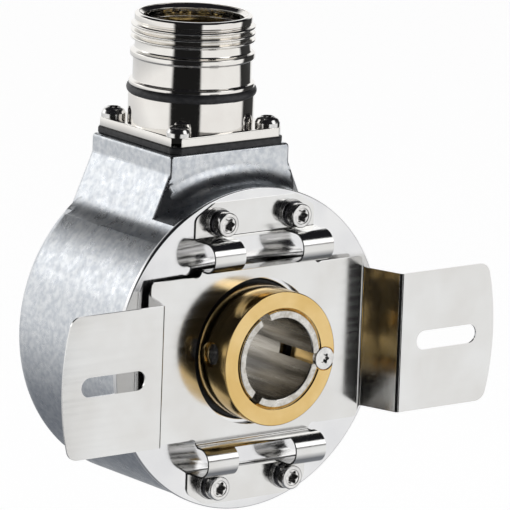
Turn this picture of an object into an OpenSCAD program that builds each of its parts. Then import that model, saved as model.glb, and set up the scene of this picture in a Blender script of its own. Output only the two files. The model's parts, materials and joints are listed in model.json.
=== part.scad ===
// Hollow-shaft rotary encoder, 60 mm size, with a clamp ring, a sheet stator
// coupling and a radial round connector. The shaft axis is Y. The origin lies on
// that axis in the front face of the flange, -Y is the drive side and +Z is the
// connector side. Millimetres.

/* [Flange] */
// Diameter of the flange's front disc
flange_d = 60; // [56:0.5:74]
// Thickness of the flange's visible rim
flange_rim = 1.1; // [0.8:0.1:2]
// Depth of the flange disc and its spigot together
flange_t = 6; // [5.5:0.5:8]

/* [Housing] */
// Wall of the cast cup
housing_wall = 2.2; // [1.8:0.1:3]
// Step from the flange's edge down to the cup
housing_step = 0.3; // [0.1:0.1:0.6]
// Radius of the cup's rear edge
rear_fillet = 3; // [1:0.5:4]
// Height of the tower's top above the cup
tower_rise = 6; // [5:0.5:10]
// Height of the tower's upright sides
tower_upright = 3.5; // [2:0.5:5]
// Lean of the tower's lower sides from upright, in degrees
tower_lean = 24; // [15:1:30]
// Half width of the tower's flared foot
tower_foot_x = 20.5; // [19:0.5:22]
// Margin of the tower at the sides of the connector's foot
tower_margin = 1; // [0.5:0.1:2]
// Radius of the cove where the tower meets the cup
cove_r = 4.8; // [1:0.1:4.8]

/* [Shaft] */
// Bore of the hollow shaft
bore_d = 15; // [10:0.5:15.5]
// Wall of the collet
collet_wall = 1.5; // [1.2:0.1:2]
// Wall of the shaft under the bearings
shaft_wall = 2.5; // [2:0.1:3]
// Reach of the collet in front of the flange
collet_reach = 9.2; // [8:0.1:12]
// Width of the collet's slots
slot_w = 2; // [1:0.1:3]
// Length of the collet's slots
slot_len = 9.8; // [6:0.1:10]
// Turn of the shaft group at rest, in degrees
rest_turn = 6; // [0:1:30]

/* [Clamp ring] */
// Outer diameter of the clamp ring
ring_d = 25; // [23:0.5:27]
// Length of the clamp ring
ring_len = 8.4; // [6:0.1:8.8]
// Diameter of the radial screw's hole
clamp_hole_d = 4.6; // [3:0.1:5]
// Head diameter of the ring lock screw
lock_head_d = 4.2; // [3:0.1:4.4]

/* [Bearings] */
// Width of a bearing
bearing_w = 7; // [6:0.5:9]
// Radial height of a bearing's section
bearing_section = 6; // [5.5:0.1:6.2]
// Diameter of a ball
ball_d = 3.5; // [2.5:0.1:3.7]
// Balls in a bearing
ball_count = 14; // [8:1:16]
// Width of the shaft's collar between the bearings
collar_w = 2; // [1.5:0.5:4]

/* [Code disc and board] */
// Reach of the code disc past the bearing hub
disc_reach = 3.2; // [3:0.1:3.4]
// Thickness of the code disc
disc_t = 0.8; // [0.5:0.1:1.5]
// Thickness of the main board
board_t = 1.3; // [1:0.1:2]
// Room behind the main board
rear_room = 1.4; // [1:0.1:6]

/* [Connector] */
// Side of the connector's square foot
foot_w = 25; // [24:0.5:28]
// Thickness of the connector's foot
foot_t = 1.7; // [1:0.1:3]
// Pitch of the foot's screw square
foot_pitch = 20.2; // [19:0.1:20.6]
// Thickness of the gasket
gasket_t = 1.3; // [0.8:0.1:2]
// Outer diameter of the connector's thread
thread_d = 23; // [22:0.5:23.5]
// Diameter of the barrel between the O-ring and the thread
barrel_d = 21.84; // [20.5:0.1:22]
// Height of the barrel's top above its foot
barrel_h = 20.3; // [18:0.1:25]
// Thread ridges
thread_count = 3; // [2:1:4]
// Pitch of the thread ridges
thread_pitch = 1.25; // [1:0.05:1.3]

/* [Stator coupling] */
// Sheet thickness
sheet_t = 0.35; // [0.25:0.05:0.5]
// Half width of the centre plate
plate_half_x = 24.6; // [23:0.1:26]
// Gap between the flange and the centre plate
plate_gap = 1.5; // [1.3:0.1:2]
// Reach of the wings' plane in front of the flange
wing_reach = 10.2; // [9:0.1:12]
// Outward lean of the webs over their whole length
web_splay = 2.6; // [1:0.1:4]
// Half height of the wings
wing_half_z = 13.1; // [11:0.1:15]
// Radius of the wings' outer edge about the shaft axis
wing_r = 49; // [48:0.5:53]
// Distance of a slot's middle from the shaft axis
slot_x = 37.9; // [37:0.1:39]
// Length of a wing's slot, end to end
wing_slot_len = 14; // [9:0.5:15]
// Width of a wing's slot
wing_slot_w = 3.6; // [3.2:0.1:4.5]
// Outer radius of the loops
loop_r = 2.85; // [2:0.05:3.2]
// Half width of the loops and strips
loop_half_x = 13.4; // [12:0.1:14]
// Half width of the window through the loops
window_half_x = 6.6; // [5:0.1:6.8]
// Height of the strips on the flange
strip_h = 6.3; // [6:0.1:7]
// Distance of the coupling screws from the middle plane
coupling_screw_x = 8.3; // [8:0.1:9.5]
// Thread diameter of the coupling screws
coupling_screw_d = 2.5; // [2:0.1:2.6]
// Head diameter of the coupling screws
coupling_head_d = 4.5; // [4:0.1:4.8]
// Outer diameter of the coupling screws' flat washers
washer_d = 5.2; // [4.8:0.1:5.2]

/* [Hidden] */
$fn = 96;

// Clearances
fit_gap = 0.05;
loose_gap = 0.2;
cut = 0.5;
sink = 0.15;

// Radii about the shaft axis
flange_r = flange_d / 2;
cup_r = flange_r - housing_step;
cup_in_r = cup_r - housing_wall;
spigot_r = cup_in_r - fit_gap;
bore_r = bore_d / 2;
collet_r = bore_r + collet_wall;
shaft_r = bore_r + shaft_wall;
ring_r = ring_d / 2;
bearing_r = shaft_r + bearing_section;
pitch_r = shaft_r + bearing_section / 2;
race_t = 1.8;
hub_wall = 1.6;
hub_r = bearing_r + hub_wall;
disc_r = hub_r + disc_reach;
track_r = hub_r + disc_reach - 1;
seal_r = ring_r + 0.5;
lock_x = min(ring_r - 2.15, collet_r + 1.35);
lock_head_h = 0.9;
lock_thread_d = 2;

// Places along the shaft axis, from the front to the rear
clamp_y = -collet_reach + ring_len * 0.55;
seal_depth = 3.2;
groove_y = flange_t - 1;
front_bearing_y = seal_depth + 0.8;
collar_y = front_bearing_y + bearing_w;
rear_bearing_y = collar_y + collar_w;
bearing_end_y = rear_bearing_y + bearing_w;
retainer_t = 1.2;
hub_end_y = bearing_end_y + retainer_t + 1.2;
disc_y = hub_end_y + 1.8;
disc_end_y = disc_y + disc_t;
disc_flange_t = 0.8;
board_y = disc_end_y + disc_flange_t + 2.2;
cup_floor_y = board_y + board_t + rear_room;
housing_end_y = cup_floor_y + housing_wall + 0.1;

// Tower
tower_half = foot_w / 2 + tower_margin;
tower_top = cup_r + tower_rise;
tower_end_y = housing_end_y;
tower_y = tower_end_y - foot_w - 0.5;
tower_wall = 2.6;
tower_roof = 6.5;
tower_knee_z = tower_top - tower_upright;
tower_foot_z = sqrt(pow(cup_r, 2) - pow(tower_foot_x, 2)) - sink;
connector_y = tower_end_y - 0.1 - foot_w / 2;

// Connector, upward from the tower's top
foot_z = tower_top + gasket_t;
barrel_z = foot_z + foot_t;
barrel_end = barrel_z + barrel_h;
thread_r = thread_d / 2;
barrel_r = barrel_d / 2;
base_r = thread_r + 0.1;
base_h = 7.5;
spigot_hole_r = 9.9;
socket_r = 9.3;
insert_top = barrel_z + 10.3;
insert_r = 8.2;
pin_r = 0.5;

// Stator coupling
loop_end_z = flange_r - 1.8 - strip_h;
plate_half_z = loop_end_z - 2 * loop_r;
plate_y = -plate_gap - sheet_t;
loop_y = -3.9;
leg_y = 1.2;
web_half_z = wing_half_z + 0.1;
coupling_screw_z = loop_end_z + 2.7;
washer_t = 0.5;
lock_washer_t = 0.8;

// Screws and posts inside
housing_screw_r = cup_in_r - 3.1;
housing_post_r = 2.5;
board_post_r = 1.9;
post_ring_r = cup_in_r - 3.6;
post_turn = 30;

STEEL = [0.72, 0.73, 0.74];
CAST = [0.62, 0.65, 0.68];
NICKEL = [0.8, 0.78, 0.74];
GOLD = [0.72, 0.52, 0.25];
BLACK = [0.08, 0.08, 0.09];

// A disc or tube about the shaft axis from y0 to y1
module tube_y(y0, y1, r_out, r_in = 0) {
    translate([0, y0, 0]) rotate([-90, 0, 0]) difference() {
        cylinder(r = r_out, h = y1 - y0);
        if (r_in > 0) translate([0, 0, -cut]) cylinder(r = r_in, h = y1 - y0 + 2 * cut);
    }
}

// A tube about an upright axis through [x, y] from z0 to z1
module tube_z(x, y, z0, z1, r_out, r_in = 0) {
    translate([x, y, z0]) difference() {
        cylinder(r = r_out, h = z1 - z0);
        if (r_in > 0) translate([0, 0, -cut]) cylinder(r = r_in, h = z1 - z0 + 2 * cut);
    }
}

// A front-view outline given thickness t, with its front face at y0
module sheet_y(y0, t) {
    translate([0, y0 + t, 0]) rotate([90, 0, 0]) linear_extrude(height = t) children();
}

// The children turned by an angle seen from the front, counter-clockwise
module turned(angle) {
    rotate([0, -angle, 0]) children();
}

// The children at a radius and angle, seen from the front
module at_polar(r, angle) {
    turned(angle) translate([r, 0, 0]) children();
}

// A six-lobed drive recess down -Z from the head's top
module star_recess(size, depth) {
    translate([0, 0, -depth]) union() {
        cylinder(d = size * 0.72, h = depth + cut);
        for (i = [0 : 5]) rotate([0, 0, 60 * i]) translate([size * 0.36, 0, 0])
            cylinder(d = size * 0.26, h = depth + cut, $fn = 24);
    }
}

// A screw along +Z with the underside of its head at z = 0
module cap_screw(thread, length, head_d, head_h, drive) {
    difference() {
        union() {
            translate([0, 0, -length]) cylinder(d = thread, h = length, $fn = 48);
            cylinder(d = head_d, h = head_h, $fn = 48);
        }
        translate([0, 0, head_h]) star_recess(drive, head_h * 0.6);
    }
}

// ---- Housing ----

// Outline of the tower seen from the front, with straight sides into the cup
module tower_outline(inset) {
    root_z = cup_r / 2;
    top = tower_top - inset;
    half = tower_half - inset;
    root_half = half + (tower_knee_z - root_z) * tan(tower_lean);
    polygon([[-half, top], [half, top], [half, tower_knee_z], [root_half, root_z],
             [-root_half, root_z], [-half, tower_knee_z]]);
}

// The right side's concave foot, from the leaning side to the cup's surface
function foot_arc(steps) = [for (i = [0 : steps])
    let (a = 180 + tower_lean + (90 - tower_lean) * i / steps)
    [tower_foot_x + cove_r * cos(a), tower_foot_z + cove_r * (1 + sin(a))]];

module tower_feet() {
    for (side = [0, 1]) mirror([side, 0])
        polygon(concat([[0, tower_knee_z], [tower_half, tower_knee_z]], foot_arc(12),
                       [[tower_foot_x - 3, cup_r / 2], [0, cup_r / 2]]));
}

// Fills the corner between the tower's front and the cup with a concave arc
module cove() {
    intersection() {
        translate([0, tower_y, 0]) rotate([90, 0, 0]) rotate_extrude() difference() {
            translate([cup_r - 1, -1]) square([1 + cove_r, 1 + cove_r]);
            translate([cup_r + cove_r, cove_r]) circle(r = cove_r + sink, $fn = 64);
        }
        sheet_y(tower_y - cove_r - 1, cove_r + 2) {
            tower_outline(0);
            tower_feet();
        }
    }
}

module housing_body() {
    depth = housing_end_y - flange_rim;
    edge = [for (i = [0 : 9]) [cup_r - rear_fillet * (1 - cos(10 * i)),
                               depth - rear_fillet * (1 - sin(10 * i))]];
    translate([0, flange_rim, 0]) rotate([-90, 0, 0]) rotate_extrude()
        polygon(concat([[0, 0], [cup_r, 0]], edge, [[0, depth]]));
    sheet_y(tower_y, tower_end_y - tower_y) tower_outline(0);
    sheet_y(tower_y, tower_end_y - tower_y - rear_fillet) tower_feet();
    cove();
}

module housing() {
    color(CAST) difference() {
        housing_body();
        tube_y(flange_rim - cut, cup_floor_y, cup_in_r);
        sheet_y(tower_y + tower_wall, cup_floor_y - tower_y - tower_wall) intersection() {
            tower_outline(tower_wall);
            translate([-flange_r, 0]) square([flange_d, tower_top - tower_roof]);
        }
        tube_y(cup_floor_y - cut, housing_end_y + cut, shaft_r + 2.5);
        tube_z(0, connector_y, tower_top - 10, tower_top + cut, spigot_hole_r);
        for (sx = [-1, 1], sy = [-1, 1])
            tube_z(sx * foot_pitch / 2, connector_y + sy * foot_pitch / 2,
                   tower_top - 6, tower_top + cut, 1.5);
        for (i = [0 : 2]) at_polar(housing_screw_r, post_turn + 120 * i) {
            tube_y(cup_floor_y - cut, housing_end_y + cut, 1.6);
            tube_y(housing_end_y - 1.6, housing_end_y + cut, 2.8);
        }
    }
}

module housing_screws() {
    color(STEEL) for (i = [0 : 2]) at_polar(housing_screw_r, post_turn + 120 * i)
        translate([0, housing_end_y - 1.6, 0]) rotate([-90, 0, 0])
            cap_screw(3, 8, 5.2, 1.5, 2.8);
}

module housing_o_ring() {
    color(BLACK) translate([0, groove_y, 0]) rotate([-90, 0, 0]) rotate_extrude()
        translate([spigot_r - 0.6, 0]) circle(r = 0.6, $fn = 32);
}

module rear_shaft_seal() {
    color(BLACK) tube_y(cup_floor_y, housing_end_y - 0.3, shaft_r + 2.5, shaft_r + fit_gap);
}

// ---- Flange and bearings ----

module flange() {
    color(STEEL) difference() {
        union() {
            tube_y(0, flange_rim, flange_r);
            tube_y(flange_rim, flange_t, spigot_r);
            tube_y(flange_t, hub_end_y, hub_r);
            for (i = [0 : 2]) at_polar(housing_screw_r, post_turn + 120 * i)
                tube_y(flange_t, cup_floor_y, housing_post_r);
        }
        tube_y(-cut, seal_depth, seal_r);
        tube_y(-cut, front_bearing_y + cut, shaft_r + 4.2);
        tube_y(front_bearing_y, hub_end_y + cut, bearing_r);
        tube_y(bearing_end_y, bearing_end_y + retainer_t, bearing_r + 0.8);
        translate([0, groove_y, 0]) rotate([-90, 0, 0]) rotate_extrude()
            translate([spigot_r - 0.6, 0]) circle(r = 0.65, $fn = 32);
        for (sx = [-1, 1], sz = [-1, 1])
            translate([sx * coupling_screw_x, 0, sz * coupling_screw_z])
                tube_y(-cut, groove_y - 0.8, coupling_screw_d / 2);
        for (i = [0 : 2]) at_polar(housing_screw_r, post_turn + 120 * i)
            tube_y(cup_floor_y - 8, cup_floor_y + cut, 1.5);
        for (i = [0 : 2]) at_polar(post_ring_r, 120 * i)
            tube_y(flange_t - 3, flange_t + cut, 1);
        translate([0, 0, track_r]) tube_y(flange_t - 1.5, flange_t + cut, 1.5);
    }
}

module front_shaft_seal() {
    color(BLACK) tube_y(0.2, seal_depth, seal_r, collet_r + fit_gap);
}

module outer_race(y0) {
    color(STEEL) difference() {
        tube_y(y0, y0 + bearing_w, bearing_r, bearing_r - race_t);
        race_groove(y0);
    }
}

module inner_race(y0) {
    color(STEEL) difference() {
        tube_y(y0, y0 + bearing_w, shaft_r + race_t, shaft_r);
        race_groove(y0);
    }
}

module race_groove(y0) {
    translate([0, y0 + bearing_w / 2, 0]) rotate([-90, 0, 0]) rotate_extrude()
        translate([pitch_r, 0]) circle(d = ball_d + 0.2, $fn = 64);
}

module ball_set(y0) {
    color(NICKEL) for (i = [0 : ball_count - 1]) at_polar(pitch_r, 360 / ball_count * i)
        translate([0, y0 + bearing_w / 2, 0]) sphere(d = ball_d, $fn = 48);
}

// A ring with a square pocket for each ball
module ball_cage(y0) {
    pocket = ball_d + 0.16;
    color(GOLD) difference() {
        tube_y(y0 + bearing_w / 2 - 2.2, y0 + bearing_w / 2 + 2.2, pitch_r + 0.6, pitch_r - 0.6);
        for (i = [0 : ball_count - 1]) at_polar(pitch_r, 360 / ball_count * i)
            translate([-pocket / 2, y0 + (bearing_w - pocket) / 2, -pocket / 2]) cube(pocket);
    }
}

module front_outer_race() {
    outer_race(front_bearing_y);
}

module rear_outer_race() {
    outer_race(rear_bearing_y);
}

module front_inner_race() {
    inner_race(front_bearing_y);
}

module rear_inner_race() {
    inner_race(rear_bearing_y);
}

module front_balls() {
    ball_set(front_bearing_y);
}

module rear_balls() {
    ball_set(rear_bearing_y);
}

module front_ball_cage() {
    ball_cage(front_bearing_y);
}

module rear_ball_cage() {
    ball_cage(rear_bearing_y);
}

module bearing_spacer() {
    color(STEEL) tube_y(collar_y, rear_bearing_y, bearing_r, bearing_r - race_t);
}

module bearing_retaining_ring() {
    color(STEEL) difference() {
        tube_y(bearing_end_y, bearing_end_y + retainer_t, bearing_r + 0.8, bearing_r - 1.6);
        at_polar(bearing_r, 270) translate([-4, bearing_end_y - cut, -2])
            cube([8, retainer_t + 2 * cut, 4]);
    }
}

// ---- Shaft group ----

module hollow_shaft() {
    color(NICKEL) turned(-rest_turn) difference() {
        union() {
            tube_y(-collet_reach, front_bearing_y, collet_r);
            tube_y(front_bearing_y, housing_end_y, shaft_r);
            tube_y(collar_y, rear_bearing_y, shaft_r + 1.4);
        }
        tube_y(-collet_reach - cut, housing_end_y + cut, bore_r);
        for (i = [0 : 2]) turned(120 * i) translate([0, -collet_reach - cut, -slot_w / 2])
            cube([collet_r + cut, slot_len + cut, slot_w]);
        lock_seat();
    }
}

// Seat of the lock screw's head, half in the ring and half in the collet
module lock_seat() {
    translate([lock_x, 0, 0])
        tube_y(-collet_reach - cut, -collet_reach + lock_head_h, lock_head_d / 2 + loose_gap);
}

module clamp_ring() {
    chamfer = 0.6;
    color(GOLD) turned(-rest_turn) difference() {
        tube_y(-collet_reach, -collet_reach + ring_len, ring_r, collet_r + fit_gap);
        translate([0, -collet_reach - 0.01, 0]) rotate([-90, 0, 0])
            cylinder(r1 = collet_r + chamfer, r2 = collet_r, h = chamfer);
        translate([-ring_r - cut, clamp_y, 0]) rotate([0, 90, 0])
            cylinder(d = clamp_hole_d, h = ring_r - collet_r + 2 * cut);
        translate([lock_x, 0, 0]) tube_y(-collet_reach - cut, -collet_reach + 6, lock_thread_d / 2);
        lock_seat();
    }
}

// Set screw that presses on the collet from the side
module clamp_screw() {
    color(STEEL) turned(-rest_turn) translate([-ring_r + 0.7, clamp_y, 0]) rotate([0, -90, 0])
        difference() {
            translate([0, 0, -ring_r + 0.75 + collet_r])
                cylinder(d = clamp_hole_d, h = ring_r - 0.75 - collet_r, $fn = 48);
            star_recess(2.6, 1.5);
        }
}

module ring_lock_screw() {
    color(NICKEL) turned(-rest_turn) translate([lock_x, -collet_reach + lock_head_h, 0])
        rotate([90, 0, 0]) cap_screw(lock_thread_d, 4.4, lock_head_d, lock_head_h, 2);
}

module disc_hub() {
    color(STEEL) union() {
        tube_y(bearing_end_y, disc_end_y, shaft_r + 1.9, shaft_r);
        tube_y(disc_end_y, disc_end_y + disc_flange_t, shaft_r + 5, shaft_r);
    }
}

module code_disc() {
    color([0.55, 0.65, 0.7]) tube_y(disc_y, disc_end_y, disc_r, shaft_r + 1.9 + fit_gap);
}

// ---- Optics and board ----

module emitter_holder() {
    color(BLACK) difference() {
        union() {
            translate([-4, flange_t, hub_r + 0.3])
                cube([8, hub_end_y - flange_t + 0.9, disc_reach + 2.6]);
            translate([0, 0, track_r]) tube_y(flange_t - 1.5, flange_t + cut, 1.5);
        }
        translate([0, 0, track_r]) tube_y(hub_end_y - 4, hub_end_y + 1 + cut, 1.5);
    }
}

module emitter() {
    color([0.7, 0.75, 0.8]) translate([0, hub_end_y - 4, track_r]) union() {
        rotate([-90, 0, 0]) cylinder(r = 1.5, h = 2.8, $fn = 48);
        translate([0, 2.8, 0]) rotate([-90, 0, 0]) intersection() {
            sphere(r = 1.5, $fn = 48);
            translate([-2, -2, 0]) cube([4, 4, 2]);
        }
    }
}

module scanning_mask() {
    color([0.6, 0.68, 0.72]) translate([-3.5, board_y - 1.9, track_r - 3])
        cube([7, 0.5, 5.4]);
}

module sensor_chip() {
    color(BLACK) translate([-3.5, board_y - 1.4, track_r - 3]) cube([7, 1.4, 5.4]);
}

module main_board() {
    color([0.1, 0.35, 0.22]) difference() {
        tube_y(board_y, board_y + board_t, cup_in_r - 0.6, shaft_r + 2.4);
        for (i = [0 : 2]) at_polar(housing_screw_r, post_turn + 120 * i)
            tube_y(board_y - cut, board_y + board_t + cut, housing_post_r + 0.3);
        for (i = [0 : 2]) at_polar(housing_screw_r + 3, post_turn + 120 * i)
            translate([-1, board_y - cut, -housing_post_r - 0.3])
                cube([4, board_t + 2 * cut, 2 * housing_post_r + 0.6]);
        for (i = [0 : 2]) at_polar(post_ring_r, 120 * i)
            tube_y(board_y - cut, board_y + board_t + cut, 1.1);
    }
}

module board_parts() {
    color(BLACK) {
        for (a = [200, 255, 340]) at_polar(shaft_r + 8.4, a)
            translate([-2.2, board_y - 1, -2.2]) cube([4.4, 1, 4.4]);
        for (a = [20 : 12 : 56]) at_polar(shaft_r + 9.5, a)
            translate([-0.8, board_y - 0.7, -0.5]) cube([1.6, 0.7, 1]);
        for (a = [146 : 12 : 182]) at_polar(shaft_r + 8.2, a)
            translate([-0.8, board_y - 0.7, -0.5]) cube([1.6, 0.7, 1]);
        for (a = [222, 232, 285, 295]) at_polar(shaft_r + 9, a)
            translate([-0.8, board_y - 0.7, -0.5]) cube([1.6, 0.7, 1]);
    }
}

module board_posts() {
    color(NICKEL) for (i = [0 : 2]) at_polar(post_ring_r, 120 * i) difference() {
        union() {
            tube_y(flange_t, board_y, board_post_r);
            tube_y(flange_t - 3, flange_t, 1);
        }
        tube_y(board_y - 5, board_y + cut, 1);
    }
}

module board_screws() {
    color(STEEL) for (i = [0 : 2]) at_polar(post_ring_r, 120 * i)
        translate([0, board_y + board_t, 0]) rotate([-90, 0, 0])
            cap_screw(2, 4, 3.6, 1, 1.8);
}

// ---- Wiring up the tower ----

module ribbon_plug() {
    color([0.85, 0.84, 0.78]) translate([-5, board_y - 2.6, cup_in_r - 3.4]) cube([10, 2.6, 2.6]);
}

module signal_ribbon() {
    z0 = cup_in_r - 0.8;
    z1 = tower_top - 2.9 - 2.2;
    t = 0.6;
    y1 = connector_y - t;
    y0 = board_y - 1.3;
    color([0.55, 0.56, 0.58]) translate([-4, 0, 0]) rotate([90, 0, 90]) linear_extrude(height = 8)
        polygon([[y0, z0], [y0 + t, z0], [y0 + t, z0 + 2], [y1 + t, z1 - 1.2], [y1 + t, z1],
                 [y1, z1], [y1, z1 - 1.4], [y0, z0 + 1.8]]);
}

module contact_board() {
    color([0.1, 0.35, 0.22]) difference() {
        tube_z(0, connector_y, tower_top - 5.1, tower_top - 4.1, 7.6);
        at_pins() cylinder(r = pin_r, h = tower_top, $fn = 24);
    }
}

// Twelve contacts: nine on a circle and three inside it
module at_pins() {
    translate([0, connector_y, 0]) {
        for (i = [0 : 8]) rotate([0, 0, 40 * i + 90]) translate([5.1, 0, 0]) children();
        for (i = [0 : 2]) rotate([0, 0, 120 * i + 30]) translate([1.9, 0, 0]) children();
    }
}

// ---- Connector ----

module foot_outline(half, corner) {
    polygon([[-half, -half + corner], [-half + corner, -half], [half - corner, -half],
             [half, -half + corner], [half, half - corner], [half - corner, half],
             [-half + corner, half], [-half, half - corner]]);
}

module at_foot_screws() {
    for (sx = [-1, 1], sy = [-1, 1])
        translate([sx * foot_pitch / 2, connector_y + sy * foot_pitch / 2, 0]) children();
}

module connector_gasket() {
    color(BLACK) difference() {
        translate([0, connector_y, tower_top]) linear_extrude(height = gasket_t)
            foot_outline(foot_w / 2 + 0.3, 1.6);
        tube_z(0, connector_y, tower_top - cut, foot_z + cut, spigot_hole_r);
        at_foot_screws() translate([0, 0, tower_top - cut]) cylinder(r = 1.6, h = gasket_t + 1);
    }
}

// Profile of the barrel: radius against height above the foot
module barrel_profile() {
    ridge_z = 12.1;
    thread_z = 15.4;
    square([base_r, base_h]);
    square([barrel_r, ridge_z]);
    translate([0, ridge_z]) square([thread_r, 1.4]);
    square([barrel_r - 0.3, barrel_h - 1.6]);
    for (i = [0 : thread_count - 1]) translate([0, thread_z + thread_pitch * i])
        polygon([[0, 0], [barrel_r - 0.3, 0], [thread_r, 0.35], [thread_r, 0.65],
                 [barrel_r - 0.3, 1], [0, 1]]);
    square([barrel_r - 0.12, barrel_h - 0.4]);
    square([barrel_r - 0.5, barrel_h]);
}

module connector_shell() {
    color(NICKEL) difference() {
        union() {
            translate([0, connector_y, foot_z]) linear_extrude(height = foot_t)
                foot_outline(foot_w / 2, 1.44);
            translate([0, connector_y, barrel_z]) rotate_extrude() barrel_profile();
            tube_z(0, connector_y, tower_top - 2.6, foot_z, spigot_hole_r - fit_gap);
        }
        tube_z(0, connector_y, tower_top - 2.6 - cut, barrel_end + cut, insert_r);
        tube_z(0, connector_y, insert_top, barrel_end + cut, socket_r);
        translate([0, connector_y, barrel_z + 6.3]) rotate_extrude()
            translate([base_r - 0.55, 0]) circle(r = 1, $fn = 32);
        at_foot_screws() translate([0, 0, foot_z - cut]) cylinder(r = 1.6, h = foot_t + 1);
    }
}

module connector_o_ring() {
    color(BLACK) translate([0, connector_y, barrel_z + 6.3]) rotate_extrude()
        translate([base_r - 0.55, 0]) circle(r = 0.98, $fn = 32);
}

module contact_insert() {
    color([0.45, 0.27, 0.14]) difference() {
        union() {
            tube_z(0, connector_y, tower_top - 2.6, insert_top, insert_r - fit_gap);
            tube_z(0, connector_y, insert_top, insert_top + 1, 6.6);
        }
        at_pins() translate([0, 0, tower_top - 4]) cylinder(r = pin_r, h = 30, $fn = 24);
    }
}

module contact_pins() {
    color(GOLD) at_pins() {
        translate([0, 0, tower_top - 5.6]) cylinder(r = pin_r, h = insert_top + 6.2 - tower_top + 5.6,
                                                    $fn = 24);
        translate([0, 0, insert_top + 6.2]) sphere(r = pin_r, $fn = 24);
    }
}

module connector_screws() {
    color(STEEL) at_foot_screws() translate([0, 0, barrel_z]) cap_screw(3, 7.5, 4.6, 1.9, 2.6);
}

// ---- Stator coupling ----

// Front-view outline of the centre plate
module plate_outline() {
    corner_x = 0.8;
    corner_z = 2.2;
    side_z = web_half_z + 2;
    difference() {
        union() {
            polygon([[-plate_half_x, -side_z + corner_z], [-plate_half_x + corner_x, -side_z],
                     [plate_half_x - corner_x, -side_z], [plate_half_x, -side_z + corner_z],
                     [plate_half_x, side_z - corner_z], [plate_half_x - corner_x, side_z],
                     [-plate_half_x + corner_x, side_z], [-plate_half_x, side_z - corner_z]]);
            square([2 * loop_half_x, 2 * plate_half_z], center = true);
        }
        circle(r = ring_r + 1.2);
        for (sx = [-1, 1], sz = [-1, 1]) translate([sx * (loop_half_x + 0.6), sz * plate_half_z])
            circle(r = 1.2, $fn = 32);
    }
}

// Front-view outline of one wing, to the right
module wing_outline() {
    corner = 3;
    inner_x = plate_half_x + web_splay - sheet_t;
    outer_x = sqrt(pow(wing_r, 2) - pow(wing_half_z, 2));
    intersection() {
        difference() {
            intersection() {
                circle(r = wing_r, $fn = 180);
                translate([inner_x, -wing_half_z]) square([wing_r, 2 * wing_half_z]);
            }
            for (sz = [-1, 1]) translate([slot_x, 0]) union() {
                square([wing_slot_len - wing_slot_w, wing_slot_w], center = true);
                for (sx = [-1, 1]) translate([sx * (wing_slot_len - wing_slot_w) / 2, 0])
                    circle(d = wing_slot_w, $fn = 48);
            }
        }
        union() {
            translate([0, -wing_half_z + corner]) square([wing_r, 2 * (wing_half_z - corner)]);
            translate([0, -wing_half_z]) square([outer_x - corner + 0.7, 2 * wing_half_z]);
            for (sz = [-1, 1]) translate([outer_x - corner + 0.7, sz * (wing_half_z - corner)])
                circle(r = corner, $fn = 48);
        }
    }
}

// One web, seen from above, between the plate and the right wing
module web() {
    translate([0, 0, -web_half_z + 0.1]) linear_extrude(height = 2 * wing_half_z)
        polygon([[plate_half_x - sheet_t, plate_y + sheet_t], [plate_half_x, plate_y],
                 [plate_half_x + web_splay, -wing_reach], [plate_half_x + web_splay, -wing_reach],
                 [plate_half_x + web_splay - sheet_t, -wing_reach + sheet_t / 2],
                 [plate_half_x - sheet_t, plate_y]]);
}

// One loop and its strip, at the top
module loop() {
    difference() {
        translate([-loop_half_x, 0, 0]) rotate([90, 0, 90]) linear_extrude(height = 2 * loop_half_x)
            union() {
                translate([loop_y, plate_half_z]) square([plate_y + sheet_t - loop_y, sheet_t]);
                translate([loop_y, plate_half_z + loop_r]) difference() {
                    circle(r = loop_r, $fn = 96);
                    circle(r = loop_r - sheet_t, $fn = 96);
                    translate([0, -2 * loop_r]) square(4 * loop_r);
                }
                translate([loop_y, loop_end_z - sheet_t]) square([-loop_y, sheet_t]);
                translate([plate_y, plate_half_z - sheet_t]) square([sheet_t, 2 * sheet_t]);
            }
        translate([-window_half_x, loop_y - loop_r - 1, plate_half_z + sheet_t])
            cube([2 * window_half_x, loop_r + 1 - loop_y - leg_y, 2 * loop_r + 1]);
    }
    difference() {
        sheet_y(-sheet_t, sheet_t) strip_outline();
        for (sx = [-1, 1]) translate([sx * coupling_screw_x, 0, coupling_screw_z])
            tube_y(-1, 1, coupling_screw_d / 2 + 0.1);
    }
}

module strip_outline() {
    end_z = loop_end_z + strip_h;
    polygon([[-loop_half_x, loop_end_z - sheet_t], [loop_half_x, loop_end_z - sheet_t],
             [loop_half_x, end_z - 2.5], [coupling_screw_x + 0.9, end_z],
             [-coupling_screw_x - 0.9, end_z], [-loop_half_x, end_z - 2.5]]);
}

module stator_coupling() {
    color(STEEL) union() {
        sheet_y(plate_y, sheet_t) plate_outline();
        for (side = [0, 1]) mirror([side, 0, 0]) {
            web();
            sheet_y(-wing_reach, sheet_t) wing_outline();
        }
        for (side = [0, 1]) mirror([0, 0, side]) loop();
    }
}

module at_coupling_screws(y) {
    for (sx = [-1, 1], sz = [-1, 1])
        translate([sx * coupling_screw_x, y, sz * coupling_screw_z]) rotate([90, 0, 0]) children();
}

module coupling_washers() {
    color(STEEL) at_coupling_screws(-sheet_t) difference() {
        cylinder(d = washer_d, h = washer_t, $fn = 48);
        translate([0, 0, -cut]) cylinder(d = coupling_screw_d + 0.2, h = washer_t + 1, $fn = 48);
    }
}

// Split spring washers
module coupling_lock_washers() {
    color([0.3, 0.3, 0.32]) at_coupling_screws(-sheet_t - washer_t) difference() {
        cylinder(d = washer_d - 0.3, h = lock_washer_t, $fn = 48);
        translate([0, 0, -cut]) cylinder(d = coupling_screw_d + 0.2, h = 2, $fn = 48);
        translate([1.2, -0.25, -cut]) cube([2, 0.5, 2]);
    }
}

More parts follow.
